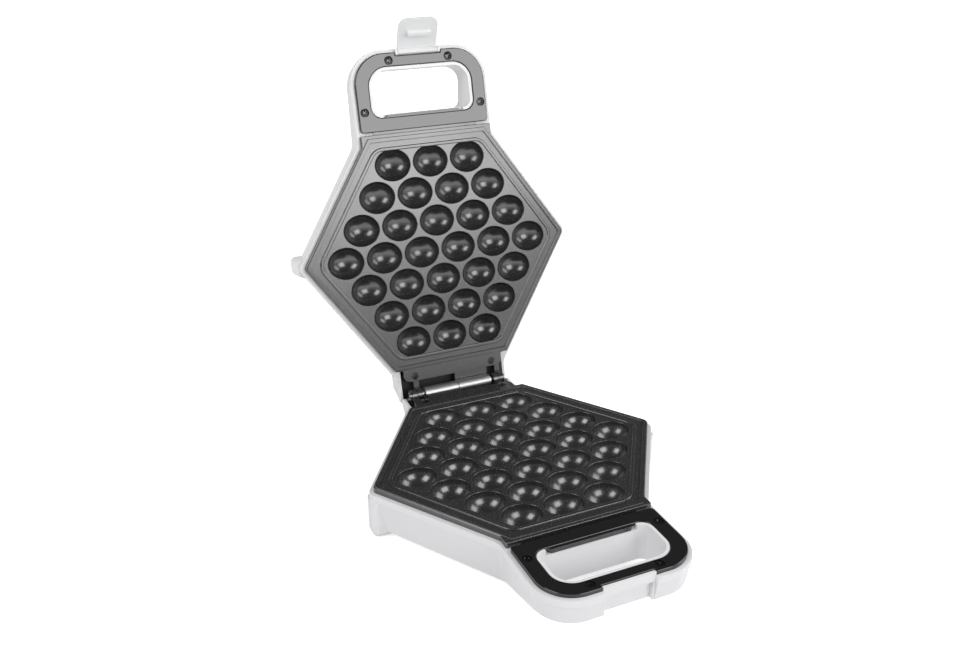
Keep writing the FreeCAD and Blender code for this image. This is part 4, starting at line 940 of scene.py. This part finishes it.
def add_knuckles(mesh, sizes, axis_height):
    """Barrel half and lugs as prisms along X, each with its bore."""
    root = plate_ridge(sizes) + sizes.strip_depth - sizes.arm_overlap
    barrel_far = sizes.barrel_gap + sizes.barrel_length
    near = barrel_far + sizes.lug_gap
    far = near + sizes.lug_width + sizes.lug_spacing
    centre, points = knuckle_outline(sizes, axis_height, root)
    bore = oval_points(centre, sizes.knuckle_bore, sizes.knuckle_bore, TURNED_STEPS)
    for left, right in ((-barrel_far, -sizes.barrel_gap), (near, near + sizes.lug_width),
                        (-(far + sizes.lug_width), -far)):
        rings = []
        for x in (left, right):
            outside = [mesh.verts.new((x, point.x, point.y)) for point in points]
            inside = [mesh.verts.new((x, point.x, point.y)) for point in bore]
            fill_between(mesh, [outside, inside])
            rings.append((outside, inside))
        join_rings(mesh, rings[0][0], rings[1][0])
        join_rings(mesh, rings[0][1], rings[1][1])


def plate_extras(sizes, axis_height):
    """Hinge knuckles, the tongue at the handle and the thermostat's boss."""
    mesh = bmesh.new()
    add_knuckles(mesh, sizes, axis_height)
    reach = plate_ridge(sizes) + sizes.flange_reach
    wide = sizes.strip_half_width
    corner = 1 * MM
    front = -(reach + sizes.tongue_reach)
    back = -(reach - sizes.skirt_wall)
    tongue = [(wide, front, corner), (wide, back, corner), (-wide, back, corner), (-wide, front, corner)]
    add_prism(mesh, outline_points(tongue), -sizes.tongue_drop, -sizes.skirt_drop)
    boss = oval_points(Vector((0, 0)), sizes.boss_radius, sizes.boss_radius)
    add_prism(mesh, boss, -sizes.boss_drop, -sizes.boss_top)
    return to_mesh(mesh, "plate_extras")


def merge_meshes(name, meshes):
    """Several meshes as one."""
    whole = bmesh.new()
    for mesh in meshes:
        whole.from_mesh(mesh)
    made = bpy.data.meshes.new(name)
    whole.to_mesh(made)
    whole.free()
    return made


def soft_edges(mesh, name, width, segments=2):
    """A mesh with its sharp edges rounded."""
    def build(helper):
        bevel = helper.modifiers.new("soft_edges", "BEVEL")
        bevel.width = width
        bevel.segments = segments
        bevel.limit_method = "ANGLE"
        bevel.angle_limit = BEVEL_ANGLE
    return with_modifiers(name, mesh, build)


class WAFFLE_OT_plates(bpy.types.Operator):
    """Cast plates with thirty oval cells, a moat, a bead and hinge knuckles"""
    bl_idname = "waffle.plates"
    bl_label = "Plates"

    def execute(self, context):
        sizes = context.scene.waffle_plate
        tree, names = cell_tree()
        values = {
            "Cell Pitch": sizes.cell_pitch, "Row Pitch": sizes.row_pitch, "Half Width": sizes.cell_half_width,
            "Round": sizes.cell_round, "Lip": sizes.cell_lip, "Wall": sizes.cell_wall,
            "Field Drop": sizes.field_drop, "Slab Drop": sizes.slab_drop, "Finish": FINISH["nonstick_plate"],
        }
        face = run_tree("plate_face", plate_body(sizes), tree, names, values)
        edge = 0.4 * MM
        for body, axis, place in (("base", -sizes.hinge_drop, base_place()),
                                  ("lid", sizes.hinge_drop, lid_place())):
            name = f"{body}_plate_cast"
            extras = soft_edges(plate_extras(sizes, axis), "plate_extras", edge)
            mesh = merge_meshes(name, [face, extras])
            mesh.transform(place)
            mesh = smooth(name, mesh)
            coat(mesh, FINISH["nonstick_plate"])
            new_piece(name, mesh, body, f"{body}_plate")
        return {"FINISHED"}


# Screws

def turned_profile(mesh, profile):
    """A closed turned solid from (radius, height) points that start and end on its axis."""
    rings = []
    for radius, height in profile[1:-1]:
        rings.append(add_ring(mesh, oval_points(Vector((0, 0)), radius, radius, TURNED_STEPS), height))
    for lower, upper in zip(rings, rings[1:]):
        join_rings(mesh, lower, upper)
    for ring, height in ((rings[0], profile[0][1]), (rings[-1], profile[-1][1])):
        pole = mesh.verts.new((0, 0, height))
        for index, vertex in enumerate(ring):
            mesh.faces.new((vertex, ring[(index + 1) % TURNED_STEPS], pole))


def screw_profile(sizes, head, thick, below, dome):
    """Radius and height along a screw, from its tip to the top of its head."""
    edge = 0.25 * MM
    tip_radius = 0.4 * MM
    tip_length = 1.6 * MM
    tip = -thick - below
    profile = [(0, tip), (tip_radius, tip), (sizes.shank, tip + tip_length), (sizes.shank, -thick),
               (head - edge, -thick), (head, -thick + edge), (head, -dome - edge), (head - edge, -dome)]
    for step in range(1, DOME_STEPS):
        share = step / DOME_STEPS
        profile.append(((head - edge) * (1 - share), -dome * (1 - math.sin(math.pi / 2 * share))))
    return [*profile, (0, 0)]


def cross_shape(sizes, head):
    """The tapered cross that is cut out of a screw's head."""
    floor_share = 0.45
    top_share = 1.1
    overrun = 0.3 * MM
    half = sizes.cross_width / 2
    cross = bmesh.new()
    rings = []
    for share, height in ((floor_share, -sizes.cross_depth), (top_share, overrun)):
        reach = head * sizes.cross_share * share
        ring = []
        for turn in range(4):
            spin = Matrix.Rotation(math.pi / 2 * turn, 2)
            ring += [spin @ Vector(corner) for corner in ((reach, -half), (reach, half), (half, half))]
        rings.append(add_ring(cross, ring, height))
    join_rings(cross, rings[0], rings[1])
    fill_between(cross, [rings[0]])
    fill_between(cross, [rings[1]])
    return to_mesh(cross, "cross")


def screw_mesh(sizes, head, thick, below, dome):
    """A cross-head screw whose head ends at zero height."""
    mesh = bmesh.new()
    turned_profile(mesh, screw_profile(sizes, head, thick, below, dome))
    body = to_mesh(mesh, "screw_body")
    cutter = add_object("cross", cross_shape(sizes, head))

    def build(helper):
        recess = helper.modifiers.new("cross", "BOOLEAN")
        recess.operation = "DIFFERENCE"
        recess.solver = "EXACT"
        recess.object = cutter
    made = with_modifiers("screw", body, build)
    bpy.data.objects.remove(cutter)
    return made


def screw_tree(name, shape):
    """A tree that sets a screw on every point of its mesh, turned a little each time."""
    tree, start, end, names = node_tree(name, [("Turn", "NodeSocketFloat"), ("Finish", "NodeSocketMaterial")])
    source = add_object(name, shape)
    single = tree.add("GeometryNodeObjectInfo", Object=source)
    index = tree.add("GeometryNodeInputIndex").outputs[0]
    turn = tree.add("ShaderNodeCombineXYZ", Z=tree.times(index, start.outputs["Turn"]))
    copies = tree.add("GeometryNodeInstanceOnPoints", Points=start.outputs["Geometry"],
                      Instance=single.outputs["Geometry"], Rotation=turn.outputs[0])
    real = tree.add("GeometryNodeRealizeInstances", Geometry=copies.outputs[0])
    done = tree.add("GeometryNodeSetMaterial", Geometry=real.outputs[0], Material=start.outputs["Finish"])
    tree.feed(end, "at_0", done)
    return tree, names, source


def both_sides(x, y):
    """A place and its mirror image."""
    return [(x, y), (-x, y)]


def screw_kinds(context):
    """Places, drop, head radius, head height, length and dome of each kind of screw."""
    screw = context.scene.waffle_screw
    plate = context.scene.waffle_plate
    cover_dome = 0.45 * MM
    strip_dome = 0.1 * MM
    cover_places = [*both_sides(screw.cover_side, -screw.cover_rear),
                    *both_sides(screw.cover_inner, -screw.cover_front)]
    strip_places = both_sides(plate.screw_side, plate.screw_back)
    return {
        "cover_screws": (cover_places, screw.cover_drop, screw.cover_head, screw.cover_thick,
                         screw.cover_length, cover_dome),
        "plate_screws": (strip_places, screw.strip_drop, screw.strip_head, screw.strip_thick,
                         screw.strip_length, strip_dome),
    }


class WAFFLE_OT_screws(bpy.types.Operator):
    """Cross-head screws in the covers and in the hinge strips"""
    bl_idname = "waffle.screws"
    bl_label = "Screws"

    def execute(self, context):
        sizes = context.scene.waffle_screw
        turns = {"base": 0.4, "lid": 0.7}
        for kind, (places, drop, head, thick, below, dome) in screw_kinds(context).items():
            tree, names, source = screw_tree(kind, screw_mesh(sizes, head, thick, below, dome))
            for body, place in (("base", base_place()), ("lid", lid_place())):
                dots = bpy.data.meshes.new(kind)
                dots.from_pydata([(x, y, -drop) for x, y in places], [], [])
                node = f"{body}_{kind}"
                finish = FINISH[slot_of(node)]
                mesh = run_tree(node, dots, tree, names, {"Turn": turns[body], "Finish": finish})
                mesh.transform(place)
                mesh = smooth(node, mesh)
                coat(mesh, finish)
                new_piece(f"{node}_finished", mesh, body, node)
            bpy.data.objects.remove(source)
        return {"FINISHED"}


# Pieces that keep their CAD shape

def merged_copy(node):
    """A CAD node's mesh with its loose triangles joined and its flat faces made whole."""
    joined = 0.002 * MM
    flat = math.radians(0.4)
    mesh = bmesh.new()
    mesh.from_mesh(frame["nodes"][node].data)
    bmesh.ops.remove_doubles(mesh, verts=mesh.verts, dist=joined)
    bmesh.ops.dissolve_limit(mesh, angle_limit=flat, verts=mesh.verts, edges=mesh.edges)
    made = bpy.data.meshes.new(node)
    mesh.to_mesh(made)
    mesh.free()
    return made


def skinned(node, body, width, segments=2):
    """A piece with a CAD node's shape and softly rounded edges."""
    mesh = smooth(node, soft_edges(merged_copy(node), node, width, segments))
    coat(mesh, FINISH[slot_of(node)])
    new_piece(f"{node}_finished", mesh, body, node)


class WAFFLE_OT_casings(bpy.types.Operator):
    """White moulded casings of the base and of the lid"""
    bl_idname = "waffle.casings"
    bl_label = "Casings"

    def execute(self, context):
        skinned("base_shell", "base", 0.7 * MM, 3)
        skinned("lid_shell", "lid", 0.7 * MM, 3)
        return {"FINISHED"}


class WAFFLE_OT_covers(bpy.types.Operator):
    """Gloss black covers round the finger openings"""
    bl_idname = "waffle.covers"
    bl_label = "Covers"

    def execute(self, context):
        skinned("base_handle_cover", "base", 0.2 * MM)
        skinned("lid_handle_cover", "lid", 0.2 * MM)
        return {"FINISHED"}


class WAFFLE_OT_latch(bpy.types.Operator):
    """The milky swinging latch"""
    bl_idname = "waffle.latch"
    bl_label = "Latch"

    def execute(self, context):
        skinned("latch", "latch", 0.35 * MM)
        return {"FINISHED"}


class WAFFLE_OT_fittings(bpy.types.Operator):
    """Finishes for the pieces that keep their CAD mesh"""
    bl_idname = "waffle.fittings"
    bl_label = "Fittings"

    def execute(self, context):
        for name, node in frame["nodes"].items():
            if not node.hide_render:
                coat(node.data, FINISH[slot_of(name)])
        return {"FINISHED"}


# Stage

def direction(azimuth, elevation):
    """From the pan towards a lamp or the camera; angles in radians."""
    return Vector((math.sin(azimuth) * math.cos(elevation), -math.cos(azimuth) * math.cos(elevation),
                   math.sin(elevation)))


def stand(item, target, away, distance):
    """Set a lamp or the camera at a distance from a point and turn it to the point."""
    item.location = target + away * distance
    item.rotation_euler = (-away).to_track_quat("-Z", "Y").to_euler()


def softbox(name, azimuth, elevation, size, glow, distance):
    """A square lamp that shines at the pan and isn't seen by the camera; angles in degrees."""
    lamp = bpy.data.lights.new(name, "AREA")
    lamp.shape = "SQUARE"
    lamp.size = size
    lamp.energy = glow * math.pi * size ** 2
    box = add_object(name, lamp)
    low, high = CAD_BOX
    stand(box, (low + high) / 2, direction(math.radians(azimuth), math.radians(elevation)), distance)
    box.visible_camera = False


def straight_rays(tree):
    """The Light Path node, and one where a ray comes from the camera or through glass."""
    path = tree.add("ShaderNodeLightPath")
    straight = tree.math("MAXIMUM", path.outputs["Is Camera Ray"], path.outputs["Is Transmission Ray"])
    return path, straight


def make_floor(settings):
    """A pale floor that keeps the pan's shadow and turns white further out."""
    half = settings.floor_size / 2
    mesh = bmesh.new()
    corners = ((-half, -half), (half, -half), (half, half), (-half, half))
    mesh.faces.new([mesh.verts.new((x, y, 0)) for x, y in corners])
    floor = add_object("floor", to_mesh(mesh, "floor"))
    material = bpy.data.materials.new("pale_floor")
    tree = cleared(material)
    place = tree.add("ShaderNodeTexCoord").outputs["Object"]
    reach = tree.add("ShaderNodeVectorMath", {"operation": "LENGTH"}, at_0=place).outputs["Value"]
    near, far = 0.25, 0.6
    own = tree.add("ShaderNodeMapRange", {"interpolation_type": "SMOOTHSTEP"}, Value=reach, From_Min=near,
                   From_Max=far, To_Min=settings.floor_glow, To_Max=1.0)
    path, straight = straight_rays(tree)
    mirrored_share = tree.times(path.outputs["Is Glossy Ray"], settings.mirror_share)
    seen = tree.math("MAXIMUM", straight, mirrored_share)
    matte = tree.add("ShaderNodeBsdfDiffuse", Color=(0.80, 0.80, 0.80, 1.0))
    glow = tree.add("ShaderNodeEmission", Color=WHITE, Strength=tree.times(seen, own))
    both = tree.add("ShaderNodeAddShader", at_0=matte.outputs[0], at_1=glow.outputs[0])
    tree.add("ShaderNodeOutputMaterial", Surface=both.outputs[0])
    floor.data.materials.append(material)


def make_world(settings):
    """An even room, white where it is seen directly and darker upwards where it is mirrored."""
    world = bpy.data.worlds.new("room")
    bpy.context.scene.world = world
    tree = cleared(world)
    plain = tree.add("ShaderNodeBackground", Color=WHITE, Strength=settings.ambient)
    height = tree.add("ShaderNodeSeparateXYZ", Vector=tree.add("ShaderNodeTexCoord").outputs["Generated"])
    horizon, above, above_share = 0.05, 0.4, 0.08
    reflected = tree.add("ShaderNodeMapRange", {"interpolation_type": "SMOOTHSTEP"}, Value=height.outputs[2],
                         From_Min=horizon, From_Max=above, To_Min=2 * settings.mirror_share,
                         To_Max=above_share)
    path, straight = straight_rays(tree)
    white = tree.add("ShaderNodeBackground", Color=WHITE, Strength=tree.math("MAXIMUM", straight, reflected))
    shown = tree.math("MAXIMUM", straight, path.outputs["Is Glossy Ray"])
    mixed = tree.add("ShaderNodeMixShader", at_0=shown, at_1=plain.outputs[0], at_2=white.outputs[0])
    tree.add("ShaderNodeOutputWorld", Surface=mixed.outputs[0])


def make_camera(settings):
    """A camera at the photograph's viewing angle."""
    data = bpy.data.cameras.new("camera")
    data.sensor_width = 36.0
    data.lens = settings.focal_pixels / PICTURE_WIDTH * data.sensor_width
    data.clip_start = 0.01
    camera = add_object("camera", data)
    target = Vector((settings.aim_side, settings.aim_back, settings.aim_height))
    away = direction(settings.camera_azimuth, settings.camera_elevation)
    stand(camera, target, away, settings.camera_distance)
    bpy.context.scene.camera = camera


class WAFFLE_OT_stage(bpy.types.Operator):
    """Pale floor, soft lamps and the camera"""
    bl_idname = "waffle.stage"
    bl_label = "Stage"

    def execute(self, context):
        settings = context.scene.waffle_stage
        make_floor(settings)
        make_world(settings)
        for name, (azimuth, elevation, size, glow) in SOFTBOXES.items():
            softbox(name, azimuth, elevation, getattr(settings, size), getattr(settings, glow),
                    settings.box_distance)
        make_camera(settings)
        context.scene.view_settings.view_transform = "Standard"
        return {"FINISHED"}


class WAFFLE_PT_panel(bpy.types.Panel):
    """Lists the pan's pieces"""
    bl_idname = "WAFFLE_PT_panel"
    bl_label = "Waffle Pan"
    bl_space_type = "VIEW_3D"
    bl_region_type = "UI"
    bl_category = "Waffle Pan"

    def draw(self, context):
        for operator in OPERATORS:
            self.layout.operator(operator.bl_idname)


OPERATORS = (WAFFLE_OT_plates, WAFFLE_OT_screws, WAFFLE_OT_casings, WAFFLE_OT_covers, WAFFLE_OT_latch,
             WAFFLE_OT_fittings, WAFFLE_OT_stage)
CLASSES = (*GROUPS.values(), *OPERATORS, WAFFLE_PT_panel)


def register():
    """Add the classes and their properties."""
    for item in CLASSES:
        bpy.utils.register_class(item)
    for name, group in GROUPS.items():
        setattr(bpy.types.Scene, name, bpy.props.PointerProperty(type=group))


def unregister():
    """Take the classes and their properties away."""
    for name in GROUPS:
        delattr(bpy.types.Scene, name)
    for item in reversed(CLASSES):
        bpy.utils.unregister_class(item)


def main():
    """Build the pan."""
    register()
    FINISH.update(finishes(bpy.context))
    bpy.ops.waffle.plates()
    bpy.ops.waffle.screws()
    bpy.ops.waffle.casings()
    bpy.ops.waffle.covers()
    bpy.ops.waffle.latch()
    bpy.ops.waffle.fittings()
    bpy.ops.waffle.stage()


if __name__ == "__main__":
    main()
